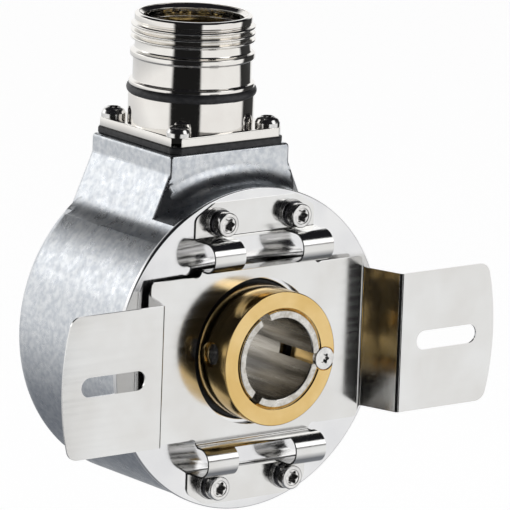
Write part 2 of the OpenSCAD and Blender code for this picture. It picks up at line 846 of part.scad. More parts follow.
module coupling_screws() {
    color(STEEL) at_coupling_screws(-sheet_t - washer_t - lock_washer_t)
        cap_screw(coupling_screw_d, 5.5, coupling_head_d, 1.9, 2.8);
}

housing();
housing_screws();
housing_o_ring();
rear_shaft_seal();
flange();
front_shaft_seal();
front_outer_race();
rear_outer_race();
bearing_spacer();
bearing_retaining_ring();
front_inner_race();
rear_inner_race();
front_balls();
rear_balls();
front_ball_cage();
rear_ball_cage();
hollow_shaft();
clamp_ring();
clamp_screw();
ring_lock_screw();
disc_hub();
code_disc();
emitter_holder();
emitter();
scanning_mask();
sensor_chip();
main_board();
board_parts();
board_posts();
board_screws();
ribbon_plug();
signal_ribbon();
contact_board();
connector_gasket();
connector_shell();
connector_o_ring();
contact_insert();
contact_pins();
connector_screws();
stator_coupling();
coupling_washers();
coupling_lock_washers();
coupling_screws();
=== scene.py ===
# %% [markdown]
# A hollow-shaft rotary encoder seen on white: a die-cast cup with a tower for a round connector, a
# polished flange, a bent sheet that fastens it to a motor, and a gold clamp ring round a slotted
# collet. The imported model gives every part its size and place. The steps below give each part its
# finish, and model again in finer detail the parts that can be seen.

# %% Load the frame
import bmesh
import bpy
import json
import math
from mathutils import Matrix, Vector

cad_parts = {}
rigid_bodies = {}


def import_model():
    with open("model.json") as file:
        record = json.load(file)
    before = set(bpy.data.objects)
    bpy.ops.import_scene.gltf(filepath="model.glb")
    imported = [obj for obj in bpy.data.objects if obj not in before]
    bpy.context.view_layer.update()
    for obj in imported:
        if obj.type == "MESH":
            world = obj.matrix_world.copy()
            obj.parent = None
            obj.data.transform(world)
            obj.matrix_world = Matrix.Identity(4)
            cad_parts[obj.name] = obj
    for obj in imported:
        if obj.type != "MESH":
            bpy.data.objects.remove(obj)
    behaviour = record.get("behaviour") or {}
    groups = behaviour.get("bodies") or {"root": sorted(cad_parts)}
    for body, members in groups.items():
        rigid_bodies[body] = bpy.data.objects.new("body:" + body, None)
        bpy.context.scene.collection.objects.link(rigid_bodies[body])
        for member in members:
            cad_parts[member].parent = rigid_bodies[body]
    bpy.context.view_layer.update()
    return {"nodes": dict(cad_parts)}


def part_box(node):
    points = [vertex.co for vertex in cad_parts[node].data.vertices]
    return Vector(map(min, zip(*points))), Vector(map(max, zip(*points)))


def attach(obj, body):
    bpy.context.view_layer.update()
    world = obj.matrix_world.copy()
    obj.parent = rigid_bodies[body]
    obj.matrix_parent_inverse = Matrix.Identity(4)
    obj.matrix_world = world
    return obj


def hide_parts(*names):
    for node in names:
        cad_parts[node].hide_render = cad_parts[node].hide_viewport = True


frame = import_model()
scene = bpy.context.scene
MM = 0.001

# %% [markdown]
# The new pieces have to sit exactly where their parts do, so their main places are read from the
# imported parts. Blender works in metres and a machinist thinks in millimetres: the boxes are turned
# into millimetres here, and MM turns a length back into metres when a vertex is placed.

# %% Places from the frame


def box_mm(node):
    low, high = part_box(node)
    return Vector(low) / MM, Vector(high) / MM


flange_lo, flange_hi = box_mm("flange")
housing_lo, housing_hi = box_mm("housing")
ring_lo, ring_hi = box_mm("clamp_ring")
shaft_lo, shaft_hi = box_mm("hollow_shaft")
gasket_lo, gasket_hi = box_mm("connector_gasket")
shell_hi = box_mm("connector_shell")[1]
sheet_lo, sheet_hi = box_mm("stator_coupling")
washers_hi = box_mm("coupling_washers")[1]
lock_lo, lock_hi = box_mm("ring_lock_screw")
rear_screws_lo = box_mm("housing_screws")[0]
FLANGE_R = flange_hi.x
FLANGE_RIM = housing_lo.y
CUP_R = FLANGE_R - 0.3
CUP_END = housing_hi.y
TOWER_TOP = gasket_lo.z
FOOT_Z = gasket_hi.z
SHELL_TOP = shell_hi.z
CONNECTOR_Y = (gasket_lo.y + gasket_hi.y) / 2
FOOT_HALF = shell_hi.x
RING_R = 12.5
SHAFT_TURN = math.atan2(-(lock_lo.z + lock_hi.z), lock_lo.x + lock_hi.x)
print(f"flange radius {FLANGE_R:.2f}, tower top {TOWER_TOP:.2f}, turn {math.degrees(SHAFT_TURN):.2f}")

# %% [markdown]
# The camera looks from the left of the drive side and a little above, through a long lens that
# keeps the round flange nearly free of perspective. It is also rolled slightly about its own line
# of sight, which a quaternion holds without any trouble over the order of the angles.

# %% Camera
VIEW_AZIMUTH = math.radians(-37.38)
VIEW_ELEVATION = math.radians(12.58)
VIEW_ROLL = math.radians(2.06)
VIEW_DISTANCE = 1157 * MM
VIEW_LENS = 448.5
VIEW_TARGET = Vector((0.48, 0.0, 17.48)) * MM


def direction(azimuth, elevation):
    """A unit vector towards an azimuth, measured from the drive side, and an elevation."""
    return Vector((math.sin(azimuth) * math.cos(elevation),
                   -math.cos(azimuth) * math.cos(elevation),
                   math.sin(elevation)))


towards_camera = direction(VIEW_AZIMUTH, VIEW_ELEVATION)
lens = bpy.data.cameras.new("camera")
lens.lens = VIEW_LENS
lens.clip_end = 20
camera = bpy.data.objects.new("camera", lens)
scene.collection.objects.link(camera)
camera.rotation_mode = "QUATERNION"
upright = towards_camera.to_track_quat("Z", "Y")
camera.rotation_quaternion = upright @ Matrix.Rotation(VIEW_ROLL, 4, "Z").to_quaternion()
camera.location = VIEW_TARGET + towards_camera * VIEW_DISTANCE
scene.camera = camera
print("camera at", [round(v, 3) for v in camera.location])

# %% [markdown]
# Plated and polished metal shows its surroundings more than itself, so the studio matters as much as
# the metal. A studio has white boards left and right of the camera, and the room behind the camera is
# dark. The boards are low, so the ceiling above them is dark too, and lower in
# front than behind. A world shader can hold the same room as bands of azimuth: black round the
# camera, white boards on both sides, and a narrow dark gap far right. What the camera sees directly
# is kept apart from that by the light path, and stays white.

# %% Studio
BOARD_BANDS = [(0.0, 1.0), (0.285, 0.95), (0.300, 0.012), (0.442, 0.012), (0.452, 0.93),
               (0.690, 0.93), (0.706, 0.03), (0.822, 0.05), (0.840, 1.0)]
CEILING_TILT = -0.18
CEILING_START = 0.24
CEILING_FULL = 0.42
CEILING_BLACK = (0.012, 0.012, 0.014)
LOW_TILT = -0.26
LOW_START = -0.25
LOW_FULL = -0.80
LOW_GREY = (0.20, 0.21, 0.23)


def set_ramp(node, stops):
    """Gives a colour ramp its stops, each a place and a grey or a colour."""
    ramp = node.color_ramp
    while len(ramp.elements) > 1:
        ramp.elements.remove(ramp.elements[0])
    for index, (place, shade) in enumerate(stops):
        item = ramp.elements[0] if index == 0 else ramp.elements.new(place)
        item.position = place
        item.color = (*shade, 1) if isinstance(shade, tuple) else (shade, shade, shade, 1)


def math_node(tree, operation, first, second=None, third=None):
    """A math node whose inputs are sockets or numbers."""
    node = tree.nodes.new("ShaderNodeMath")
    node.operation = operation
    for index, value in enumerate((first, second, third)):
        if value is None:
            continue
        if isinstance(value, (int, float)):
            node.inputs[index].default_value = value
        else:
            tree.links.new(value, node.inputs[index])
    return node.outputs[0]


def blend_colours(tree, factor, first, second):
    """Mixes two colours, each a socket or a colour, by a socket."""
    node = tree.nodes.new("ShaderNodeMix")
    node.data_type = "RGBA"
    tree.links.new(factor, node.inputs[0])
    for slot, value in ((6, first), (7, second)):
        if isinstance(value, tuple):
            node.inputs[slot].default_value = (*value, 1)
        else:
            tree.links.new(value, node.inputs[slot])
    return node.outputs[2]


def spread(tree, value, low, high, new_low=0.0, new_high=1.0):
    """Maps a socket from one range to another."""
    node = tree.nodes.new("ShaderNodeMapRange")
    tree.links.new(value, node.inputs["Value"])
    node.inputs["From Min"].default_value = low
    node.inputs["From Max"].default_value = high
    node.inputs["To Min"].default_value = new_low
    node.inputs["To Max"].default_value = new_high
    return node.outputs["Result"]


def build_studio():
    world = bpy.data.worlds.new("studio")
    scene.world = world
    world.use_nodes = True
    tree = world.node_tree
    tree.nodes.clear()
    place = tree.nodes.new("ShaderNodeTexCoord")
    axes = tree.nodes.new("ShaderNodeSeparateXYZ")
    tree.links.new(place.outputs["Generated"], axes.inputs[0])
    forward = math_node(tree, "MULTIPLY", axes.outputs["Y"], -1.0)
    azimuth = math_node(tree, "ARCTAN2", axes.outputs["X"], forward)
    bands = tree.nodes.new("ShaderNodeValToRGB")
    set_ramp(bands, BOARD_BANDS)
    tree.links.new(math_node(tree, "MULTIPLY_ADD", azimuth, 1 / (2 * math.pi), 0.5), bands.inputs[0])
    up = axes.outputs["Z"]
    tilted = math_node(tree, "MULTIPLY_ADD", axes.outputs["Y"], CEILING_TILT, up)
    ceiling = blend_colours(tree, spread(tree, tilted, CEILING_START, CEILING_FULL),
                            bands.outputs[0], CEILING_BLACK)
    sunk = math_node(tree, "MULTIPLY_ADD", axes.outputs["Y"], LOW_TILT, up)
    room = blend_colours(tree, spread(tree, sunk, LOW_START, LOW_FULL), ceiling, LOW_GREY)
    path = tree.nodes.new("ShaderNodeLightPath")
    seen = blend_colours(tree, path.outputs["Is Camera Ray"], room, (1.0, 1.0, 1.0))
    backdrop = tree.nodes.new("ShaderNodeBackground")
    tree.links.new(seen, backdrop.inputs["Color"])
    output = tree.nodes.new("ShaderNodeOutputWorld")
    tree.links.new(backdrop.outputs[0], output.inputs["Surface"])


build_studio()
scene.view_settings.view_transform = "Standard"
print("studio bands:", len(BOARD_BANDS))

# %% [markdown]
# Rough cast metal doesn't mirror the boards, so it needs light of its own. One soft lamp stands
# behind on the left, where only the side of the casting can mirror it and the flange shades the
# plated parts. A larger one stands in front on the right and brightens the edges.

# %% Soft lamps


def soft_lamp(name, azimuth, elevation, distance, size, watts):
    away = direction(math.radians(azimuth), math.radians(elevation))
    light = bpy.data.lights.new(name, "AREA")
    light.size = size
    light.energy = watts
    lamp = bpy.data.objects.new(name, light)
    scene.collection.objects.link(lamp)
    lamp.location = VIEW_TARGET + away * distance
    lamp.rotation_mode = "QUATERNION"
    lamp.rotation_quaternion = away.to_track_quat("Z", "Y")
    return lamp


soft_lamp("lamp_left", azimuth=-149, elevation=22, distance=0.9, size=0.30, watts=0.2)
soft_lamp("lamp_right", azimuth=35, elevation=30, distance=1.0, size=0.5, watts=1.2)

# %% [markdown]
# Two black flags finish the lighting. They are small dark cards that stand just outside the picture,
# where the webs of the bent sheet would otherwise mirror the boards: with the flags the webs and the
# strips of plate beside them go black, which shows how deep the bends are.

# %% Flags
felt = bpy.data.materials.new("flag_black")
felt.use_nodes = True
felt_shader = felt.node_tree.nodes["Principled BSDF"]
felt_shader.inputs["Base Color"].default_value = (0.002, 0.002, 0.002, 1)
felt_shader.inputs["Roughness"].default_value = 1.0
felt_shader.inputs["Specular IOR Level"].default_value = 0.0


def flag(name, azimuth, place, width, height):
    """A black card facing the encoder, which the camera itself doesn't see."""
    bpy.ops.object.select_all(action="DESELECT")
    bpy.ops.mesh.primitive_plane_add(size=1)
    card = bpy.context.object
    card.name = name
    card.scale = (width * MM, height * MM, 1)
    card.rotation_euler = (math.pi / 2, 0, math.radians(azimuth))
    card.location = Vector(place) * MM
    card.data.materials.append(felt)
    card.visible_camera = False
    card.visible_shadow = False


flag("flag_front", azimuth=0, place=(17, -150, -35), width=52, height=62)
flag("flag_left", azimuth=-74, place=(-120, -42, -35), width=92, height=80)

# %% [markdown]
# The floor is plain and white, some way under the encoder, which hangs clear of it as in a studio
# where a product is held on a thin rod. A little glow of its own keeps it as pale as the backdrop.

# %% Floor
FLOOR_DROP = 70
bpy.ops.object.select_all(action="DESELECT")
bpy.ops.mesh.primitive_plane_add(size=12, location=(0, 0, (flange_lo.z - FLOOR_DROP) * MM))
floor = bpy.context.object
floor.name = "floor"
floor.visible_glossy = False
paint = bpy.data.materials.new("floor_white")
paint.use_nodes = True
paint_shader = paint.node_tree.nodes["Principled BSDF"]
paint_shader.inputs["Base Color"].default_value = (0.5, 0.5, 0.5, 1)
paint_shader.inputs["Roughness"].default_value = 0.9
paint_shader.inputs["Emission Color"].default_value = (1, 1, 1, 1)
paint_shader.inputs["Emission Strength"].default_value = 0.9
floor.data.materials.append(paint)

# %% [markdown]
# Now the finishes. Every metal here is a Principled shader that differs in three things: how even
# its colour is, how its gloss wanders, and how rough its skin feels. Each of those comes from noise
# on Object coordinates. They are in metres, so a noise scale of 1000 gives patches about 1 mm wide,
# and stretching the noise along one axis turns patches into the fine lines that brushing or turning
# leaves.

# %% Tools for finishes


def new_finish(name, colour, metallic, roughness):
    """A material with its Principled shader set to even values."""
    finish = bpy.data.materials.new(name)
    finish.use_nodes = True
    shader = finish.node_tree.nodes["Principled BSDF"]
    shader.inputs["Base Color"].default_value = (*colour, 1)
    shader.inputs["Metallic"].default_value = metallic
    shader.inputs["Roughness"].default_value = roughness
    return finish, finish.node_tree, shader


def grain(tree, scale, stretch=(1, 1, 1), detail=3.0, centre=(0, 0, 0)):
    """Noise on Object coordinates, stretched by dividing an axis's scale."""
    place = tree.nodes.new("ShaderNodeTexCoord")
    mapping = tree.nodes.new("ShaderNodeMapping")
    mapping.inputs["Location"].default_value = centre
    mapping.inputs["Scale"].default_value = stretch
    tree.links.new(place.outputs["Object"], mapping.inputs["Vector"])
    noise = tree.nodes.new("ShaderNodeTexNoise")
    noise.inputs["Scale"].default_value = scale
    noise.inputs["Detail"].default_value = detail
    tree.links.new(mapping.outputs[0], noise.inputs["Vector"])
    return noise.outputs[0]


def vary_gloss(tree, shader, pattern, low, high):
    tree.links.new(spread(tree, pattern, 0.3, 0.7, low, high), shader.inputs["Roughness"])


def vary_colour(tree, shader, pattern, first, second):
    tree.links.new(blend_colours(tree, spread(tree, pattern, 0.35, 0.65), first, second),
                   shader.inputs["Base Color"])


def raise_skin(tree, shader, pattern, depth, strength=1.0):
    """A bump whose highest points stand depth millimetres above its lowest."""
    bump = tree.nodes.new("ShaderNodeBump")
    bump.inputs["Distance"].default_value = depth * MM
    bump.inputs["Strength"].default_value = strength
    tree.links.new(pattern, bump.inputs["Height"])
    tree.links.new(bump.outputs[0], shader.inputs["Normal"])


def turned_lines(tree, scale, axis="Y", centre=(0, 0, 0)):
    """Fine rings round an axis, as a lathe tool leaves them."""
    place = tree.nodes.new("ShaderNodeTexCoord")
    mapping = tree.nodes.new("ShaderNodeMapping")
    mapping.inputs["Location"].default_value = centre
    tree.links.new(place.outputs["Object"], mapping.inputs["Vector"])
    axes = tree.nodes.new("ShaderNodeSeparateXYZ")
    tree.links.new(mapping.outputs[0], axes.inputs[0])
    across = [name for name in "XYZ" if name != axis]
    squares = [math_node(tree, "MULTIPLY", axes.outputs[a], axes.outputs[a]) for a in across]
    radius = math_node(tree, "SQRT", math_node(tree, "ADD", squares[0], squares[1]))
    joined = tree.nodes.new("ShaderNodeCombineXYZ")
    tree.links.new(radius, joined.inputs[0])
    tree.links.new(axes.outputs[axis], joined.inputs[1])
    noise = tree.nodes.new("ShaderNodeTexNoise")
    noise.inputs["Scale"].default_value = scale
    noise.inputs["Detail"].default_value = 2.0
    tree.links.new(joined.outputs[0], noise.inputs["Vector"])
    return noise.outputs[0]


# %% [markdown]
# The die-cast aluminium is the only dull skin on the encoder. It was tumbled after casting, so it is
# a satin grey with cloudy patches a few millimetres wide, finer speckle over them, and the faint
# dimples of the shot. Three sizes of noise make it: large for colour, middle for gloss, small for
# the bump.

# %% Cast aluminium


def cast_aluminium():
    finish, tree, shader = new_finish("cast_aluminium", (0.60, 0.63, 0.66), 1.0, 0.4)
    vary_colour(tree, shader, grain(tree, 950, detail=8.0), (0.57, 0.60, 0.64), (0.76, 0.78, 0.80))
    vary_gloss(tree, shader, grain(tree, 420, detail=9.0), 0.24, 0.36)
    raise_skin(tree, shader, grain(tree, 2600, detail=5.0), 0.022, 0.6)
    return finish


CAST = cast_aluminium()
print("finish:", CAST.name)

# %% [markdown]
# The flange is faced on a lathe and polished, and the coupling is rolled spring sheet. Both are near
# mirrors. What tells them apart is the direction of their very fine lines: rings on the flange, and
# straight lines along the sheet.

# %% Polished and rolled steel


def polished_flange():
    finish, tree, shader = new_finish("polished_flange", (0.83, 0.83, 0.83), 1.0, 0.12)
    rings = turned_lines(tree, 2600)
    vary_gloss(tree, shader, rings, 0.09, 0.17)
    vary_colour(tree, shader, grain(tree, 120), (0.80, 0.80, 0.81), (0.87, 0.87, 0.87))
    raise_skin(tree, shader, rings, 0.002, 0.35)
    return finish


def rolled_sheet():
    finish, tree, shader = new_finish("rolled_sheet", (0.80, 0.79, 0.77), 1.0, 0.17)
    lines = grain(tree, 1400, stretch=(0.03, 1, 1), detail=2.0)
    vary_gloss(tree, shader, lines, 0.12, 0.17)
    vary_colour(tree, shader, grain(tree, 90), (0.77, 0.76, 0.74), (0.83, 0.83, 0.82))
    raise_skin(tree, shader, lines, 0.002, 0.12)
    return finish


FLANGE_FINISH = polished_flange()
SHEET_FINISH = rolled_sheet()

# %% [markdown]
# The connector and the screws are nickel plated. Plating follows the turned surface below it and
# stays mirror bright, with a warm tone. The screws are plated steel, a little duller in their
# recesses.

# %% Plating


def nickel_plate():
    finish, tree, shader = new_finish("nickel_plate", (0.86, 0.83, 0.78), 1.0, 0.07)
    rings = turned_lines(tree, 1800, "Z", (0, -CONNECTOR_Y * MM, 0))
    vary_gloss(tree, shader, rings, 0.05, 0.10)
    vary_colour(tree, shader, grain(tree, 150), (0.84, 0.81, 0.77), (0.90, 0.88, 0.84))
    raise_skin(tree, shader, rings, 0.0015, 0.4)
    return finish


def plated_screw():
    finish, tree, shader = new_finish("plated_screw", (0.78, 0.77, 0.75), 1.0, 0.16)
    vary_gloss(tree, shader, grain(tree, 1800), 0.10, 0.24)
    vary_colour(tree, shader, grain(tree, 900), (0.70, 0.69, 0.68), (0.86, 0.85, 0.83))
    raise_skin(tree, shader, grain(tree, 2600), 0.004, 0.4)
    return finish


def blackened_spring():
    finish, tree, shader = new_finish("blackened_spring", (0.20, 0.20, 0.21), 1.0, 0.25)
    vary_gloss(tree, shader, grain(tree, 1500), 0.18, 0.36)
    vary_colour(tree, shader, grain(tree, 900), (0.05, 0.05, 0.055), (0.14, 0.14, 0.15))
    raise_skin(tree, shader, grain(tree, 2400), 0.006, 0.4)
    return finish


NICKEL = nickel_plate()
SCREW = plated_screw()
SPRING = blackened_spring()

# %% [markdown]
# The clamp ring is gold-coloured anodised metal with a satin face, and the collet inside it is bare
# turned steel, whose bore is streaked along the axis where the hone passed.

# %% Clamp ring and shaft


def anodised_gold():
    finish, tree, shader = new_finish("anodised_gold", (0.80, 0.56, 0.22), 1.0, 0.24)
    rings = turned_lines(tree, 2200)
    vary_gloss(tree, shader, rings, 0.10, 0.17)
    vary_colour(tree, shader, grain(tree, 160), (0.76, 0.52, 0.20), (0.84, 0.61, 0.28))
    raise_skin(tree, shader, rings, 0.002, 0.4)
    return finish


def honed_steel():
    finish, tree, shader = new_finish("honed_steel", (0.66, 0.63, 0.58), 1.0, 0.2)
    streaks = grain(tree, 900, stretch=(1, 0.06, 1), detail=4.0)
    vary_gloss(tree, shader, streaks, 0.13, 0.30)
    vary_colour(tree, shader, streaks, (0.52, 0.49, 0.44), (0.80, 0.78, 0.74))
    raise_skin(tree, shader, streaks, 0.004, 0.4)
    return finish


GOLD = anodised_gold()
HONED = honed_steel()

# %% [markdown]
# What is left is rubber, plastic, glass and the parts of the bearings. They mostly sit inside, but a
# model that can be opened should be finished inside too. Each takes the same few settings, so one
# function with different numbers serves: two colours, a range of gloss, and a bump.

# %% Finishes of the inner parts


def plain_finish(name, first, second, metallic, gloss, scale, depth):
    """A finish of two colours that wander into each other."""
    finish, tree, shader = new_finish(name, first, metallic, sum(gloss) / 2)
    pattern = grain(tree, scale, detail=4.0)
    vary_colour(tree, shader, pattern, first, second)
    vary_gloss(tree, shader, grain(tree, scale * 1.7), *gloss)
    raise_skin(tree, shader, grain(tree, scale * 2.5), depth, 0.5)
    return finish


RUBBER = plain_finish("black_rubber", (0.016, 0.016, 0.018), (0.035, 0.035, 0.038), 0.0,
                      (0.38, 0.55), 900, 0.01)
RACE = plain_finish("bearing_steel", (0.66, 0.66, 0.67), (0.76, 0.76, 0.77), 1.0,
                    (0.08, 0.16), 500, 0.001)
DARK_STEEL = plain_finish("dark_steel", (0.16, 0.16, 0.17), (0.28, 0.28, 0.30), 1.0,
                          (0.25, 0.40), 700, 0.004)
CAGE = plain_finish("cage_brass", (0.62, 0.45, 0.20), (0.74, 0.57, 0.30), 1.0,
                    (0.22, 0.38), 600, 0.004)
BLACK_PLASTIC = plain_finish("black_plastic", (0.020, 0.020, 0.022), (0.040, 0.040, 0.043), 0.0,
                             (0.40, 0.60), 800, 0.008)
CREAM = plain_finish("cream_plastic", (0.62, 0.59, 0.48), (0.70, 0.67, 0.56), 0.0,
                     (0.35, 0.50), 600, 0.004)
RIBBON = plain_finish("ribbon_grey", (0.30, 0.31, 0.33), (0.40, 0.41, 0.43), 0.0,
                      (0.40, 0.55), 700, 0.01)
BROWN = plain_finish("insert_brown", (0.17, 0.075, 0.030), (0.24, 0.11, 0.045), 0.0,
                     (0.32, 0.48), 700, 0.006)
CONTACT = plain_finish("contact_gold", (0.85, 0.62, 0.25), (0.93, 0.72, 0.34), 1.0,
                       (0.10, 0.20), 900, 0.002)
CLEAR = plain_finish("clear_plastic", (0.70, 0.74, 0.78), (0.80, 0.83, 0.86), 0.0,
                     (0.06, 0.12), 500, 0.002)
GLASS = plain_finish("disc_glass", (0.55, 0.64, 0.66), (0.66, 0.74, 0.76), 0.0,
                     (0.04, 0.09), 300, 0.001)
BOARD = plain_finish("board_green", (0.012, 0.105, 0.050), (0.020, 0.150, 0.075), 0.0,
                     (0.28, 0.42), 900, 0.01)
for clear in (CLEAR, GLASS):
    clear.node_tree.nodes["Principled BSDF"].inputs["Transmission Weight"].default_value = 0.6
print("materials:", len(bpy.data.materials))

# %% [markdown]
# Most parts are kept as they came: their shape is right, and they only need their finish. A table of
# which finish goes to which part keeps this in one place. The parts that are modelled again below
# are hidden when their new piece takes over.

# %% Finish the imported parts
FINISHES = {
    "housing_o_ring": RUBBER, "front_outer_race": RACE, "rear_outer_race": RACE,
    "bearing_spacer": RACE, "bearing_retaining_ring": DARK_STEEL, "front_inner_race": RACE,
    "rear_inner_race": RACE, "front_balls": RACE, "rear_balls": RACE, "front_ball_cage": CAGE,
    "rear_ball_cage": CAGE, "disc_hub": FLANGE_FINISH, "code_disc": GLASS,
    "emitter_holder": BLACK_PLASTIC, "emitter": CLEAR, "scanning_mask": GLASS,
    "sensor_chip": BLACK_PLASTIC, "main_board": BOARD, "board_parts": BLACK_PLASTIC,
    "board_posts": NICKEL, "board_screws": SCREW, "ribbon_plug": CREAM, "signal_ribbon": RIBBON,
    "contact_board": BOARD, "housing": CAST, "housing_screws": SCREW, "rear_shaft_seal": RUBBER,
    "flange": FLANGE_FINISH, "front_shaft_seal": RUBBER, "hollow_shaft": HONED,
    "clamp_ring": GOLD, "clamp_screw": SCREW, "ring_lock_screw": SCREW,
    "connector_gasket": RUBBER, "connector_shell": NICKEL, "connector_o_ring": RUBBER,
    "contact_insert": BROWN, "contact_pins": CONTACT, "connector_screws": SCREW,
    "stator_coupling": SHEET_FINISH, "coupling_washers": SCREW, "coupling_lock_washers": SPRING,
    "coupling_screws": SCREW,
}
for node, finish in FINISHES.items():
    for material_slot in frame["nodes"][node].material_slots:
        material_slot.material = finish
print("finished parts:", len(FINISHES), "of", len(frame["nodes"]))

# %% [markdown]
# The visible parts are turned, sawn, bent and drilled on the real encoder, and a few helpers do the
# same here. A chain of edges is drawn vertex by vertex, as one would with the extrude key. Spinning
# it makes a turned part, filling and extruding it makes a plate, and a boolean does the drilling.
# Numbers are in millimetres until a vertex is placed.

# %% Tools for modelling


def only(piece):
    """Leaves this piece selected and active, and nothing else."""
    bpy.ops.object.select_all(action="DESELECT")
    piece.select_set(True)
    bpy.context.view_layer.objects.active = piece


def edit(piece):
    only(piece)
    bpy.ops.object.mode_set(mode="EDIT")
    bpy.ops.mesh.select_all(action="SELECT")


def done():
    bpy.ops.object.mode_set(mode="OBJECT")


def draw_chain(name, points):
    """A chain of edges through points in millimetres, drawn one vertex after another."""
    bpy.ops.object.select_all(action="DESELECT")
    bpy.ops.mesh.primitive_plane_add(size=MM)
    piece = bpy.context.object
    piece.name = name
    edit(piece)
    bpy.ops.mesh.merge(type="CENTER")
    bpy.ops.transform.translate(value=Vector(points[0]) * MM)
    for here, there in zip(points, points[1:]):
        step = (Vector(there) - Vector(here)) * MM
        bpy.ops.mesh.extrude_vertices_move(TRANSFORM_OT_translate={"value": step})
    done()
    return piece


def choose(kind, test):
    """In edit mode, selects the vertices, edges or faces whose middle passes the test, in mm."""
    mesh = bmesh.from_edit_mesh(bpy.context.object.data)
    bpy.ops.mesh.select_mode(type={"verts": "VERT", "edges": "EDGE", "faces": "FACE"}[kind])
    bpy.ops.mesh.select_all(action="DESELECT")
    count = 0
    for item in getattr(mesh, kind):
        if kind == "verts":
            middle = item.co
        elif kind == "edges":
            middle = (item.verts[0].co + item.verts[1].co) / 2
        else:
            middle = item.calc_center_median()
        if test(middle / MM):
            item.select_set(True)
            count += 1
    mesh.select_flush_mode()
    bmesh.update_edit_mesh(bpy.context.object.data)
    return count


def tidy_skin():
    """In edit mode, welds the seams and turns every face outwards."""
    bpy.ops.mesh.select_mode(type="VERT")
    bpy.ops.mesh.select_all(action="SELECT")
    bpy.ops.mesh.remove_doubles(threshold=0.002 * MM)
    bpy.ops.mesh.normals_make_consistent(inside=False)


def round_off(corners, radius, closed=True, steps=4):
    """A flat outline whose corners become arcs. A corner may carry its own radius third."""
    points = []
    for index, corner in enumerate(corners):
        here = Vector(corner[:2])
        arc = corner[2] if len(corner) > 2 else radius
        at_end = index in (0, len(corners) - 1) and not closed
        before = Vector(corners[index - 1][:2]) - here
        after = Vector(corners[(index + 1) % len(corners)][:2]) - here
        if at_end or arc <= 0 or before.angle(after) > math.radians(175):
            points.append(here)
            continue
        half = before.angle(after) / 2
        reach = min(arc / math.tan(half), before.length * 0.49, after.length * 0.49)
        middle = (before.normalized() + after.normalized()).normalized() * (reach / math.cos(half))
        start = before.normalized() * reach - middle
        sweep = start.angle_signed(after.normalized() * reach - middle)
        for step in range(steps + 1):
            spoke = Matrix.Rotation(-sweep * step / steps, 2) @ start
            points.append(here + middle + spoke)
    return points


def circle_points(radius, centre=(0, 0), count=64, start=0.0, sweep=2 * math.pi):
    """Points along an arc. A full circle leaves out the last point, which is the first again."""
    full = abs(sweep) > 2 * math.pi - 0.001
    last = count if full else count - 1
    return [Vector((centre[0] + radius * math.cos(start + sweep * i / last),
                    centre[1] + radius * math.sin(start + sweep * i / last)))
            for i in range(count)]


def spin_part(name, profile, steps=144, centre=(0, 0, 0), axis="Y"):
    """A turned part. The profile holds (radius, place along the axis) and is closed."""
    middle = Vector(centre)
    if axis == "Y":
        points = [middle + Vector((p[0], p[1], 0)) for p in profile]
        line = (0, 1, 0)
    else:
        points = [middle + Vector((p[0], 0, p[1])) for p in profile]
        line = (0, 0, 1)
    piece = draw_chain(name, points)
    edit(piece)
    ends = (Vector(points[0]), Vector(points[-1]))
    choose("verts", lambda p: min((p - end).length for end in ends) < 0.001)
    bpy.ops.mesh.edge_face_add()
    bpy.ops.mesh.select_all(action="SELECT")
    bpy.ops.mesh.spin(steps=steps, angle=2 * math.pi, center=middle * MM, axis=line)
    tidy_skin()
    done()
    return piece


def lay_out(outline, plane, start, depth):
    """An outline's points in space, and the push that gives it its depth."""
    third = next(a for a in range(3) if a not in plane)
    points = []
    for p in outline:
        place = [0.0, 0.0, 0.0]
        place[plane[0]], place[plane[1]], place[third] = p[0], p[1], start
        points.append(Vector(place))
    push = Vector((0, 0, 0))
    push[third] = depth * MM
    return points, push


def cut_plate(name, outline, plane, start, depth):
    """A flat outline given thickness. Plane is the two axes it lies in, start its place."""
    points, push = lay_out(outline, plane, start, depth)
    piece = draw_chain(name, points)
    edit(piece)
    bpy.ops.mesh.edge_face_add()
    bpy.ops.mesh.extrude_region_move(TRANSFORM_OT_translate={"value": push})
    tidy_skin()
    done()
    return piece


def modify(piece, kind, **settings):
    """Adds a modifier with its settings and applies it."""
    only(piece)
    modifier = piece.modifiers.new(kind.lower(), kind)
    for key, value in settings.items():
        setattr(modifier, key, value)
    bpy.ops.object.modifier_apply(modifier=modifier.name)


def carve(piece, tool, operation="DIFFERENCE"):
    """Cuts the tool from the piece, or joins or keeps what they share. The tool is used up."""
    modify(piece, "BOOLEAN", operation=operation, solver="EXACT", object=tool)
    bpy.data.objects.remove(tool, do_unlink=True)


def break_edges(piece, width, angle=50):
    """A small chamfer on every sharp edge, which is what catches the light."""
    modify(piece, "BEVEL", width=width * MM, segments=2, limit_method="ANGLE",
           angle_limit=math.radians(angle), use_clamp_overlap=True, harden_normals=False)


def copy_to(piece, name, offset):
    """A copy with its own mesh, moved by an offset in millimetres."""
    only(piece)
    bpy.ops.object.duplicate(linked=False)
    twin = bpy.context.object
    twin.name = name
    twin.location = Vector(offset) * MM
    bpy.ops.object.transform_apply(location=True, rotation=False, scale=False)
    return twin


def stand(piece, turn, place=(0, 0, 0)):
    """Turns a piece that was made about the origin and puts it in its place, in its mesh."""
    only(piece)
    piece.rotation_euler = turn
    piece.location = Vector(place) * MM
    bpy.ops.object.transform_apply(location=True, rotation=True, scale=True)


def hand_over(piece, finish, slot, body, *nodes, smooth=32):
    """Gives a finished piece its material, its smooth shading and its place in the frame."""
    piece.data.materials.clear()
    piece.data.materials.append(finish)
    only(piece)
    bpy.ops.object.shade_smooth_by_angle(angle=math.radians(smooth))
    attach(piece, body)
    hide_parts(*nodes)
    print(f"{piece.name}: {len(piece.data.polygons)} faces for {', '.join(nodes)}")


XZ = (0, 2)
XY = (0, 1)
YZ = (1, 2)

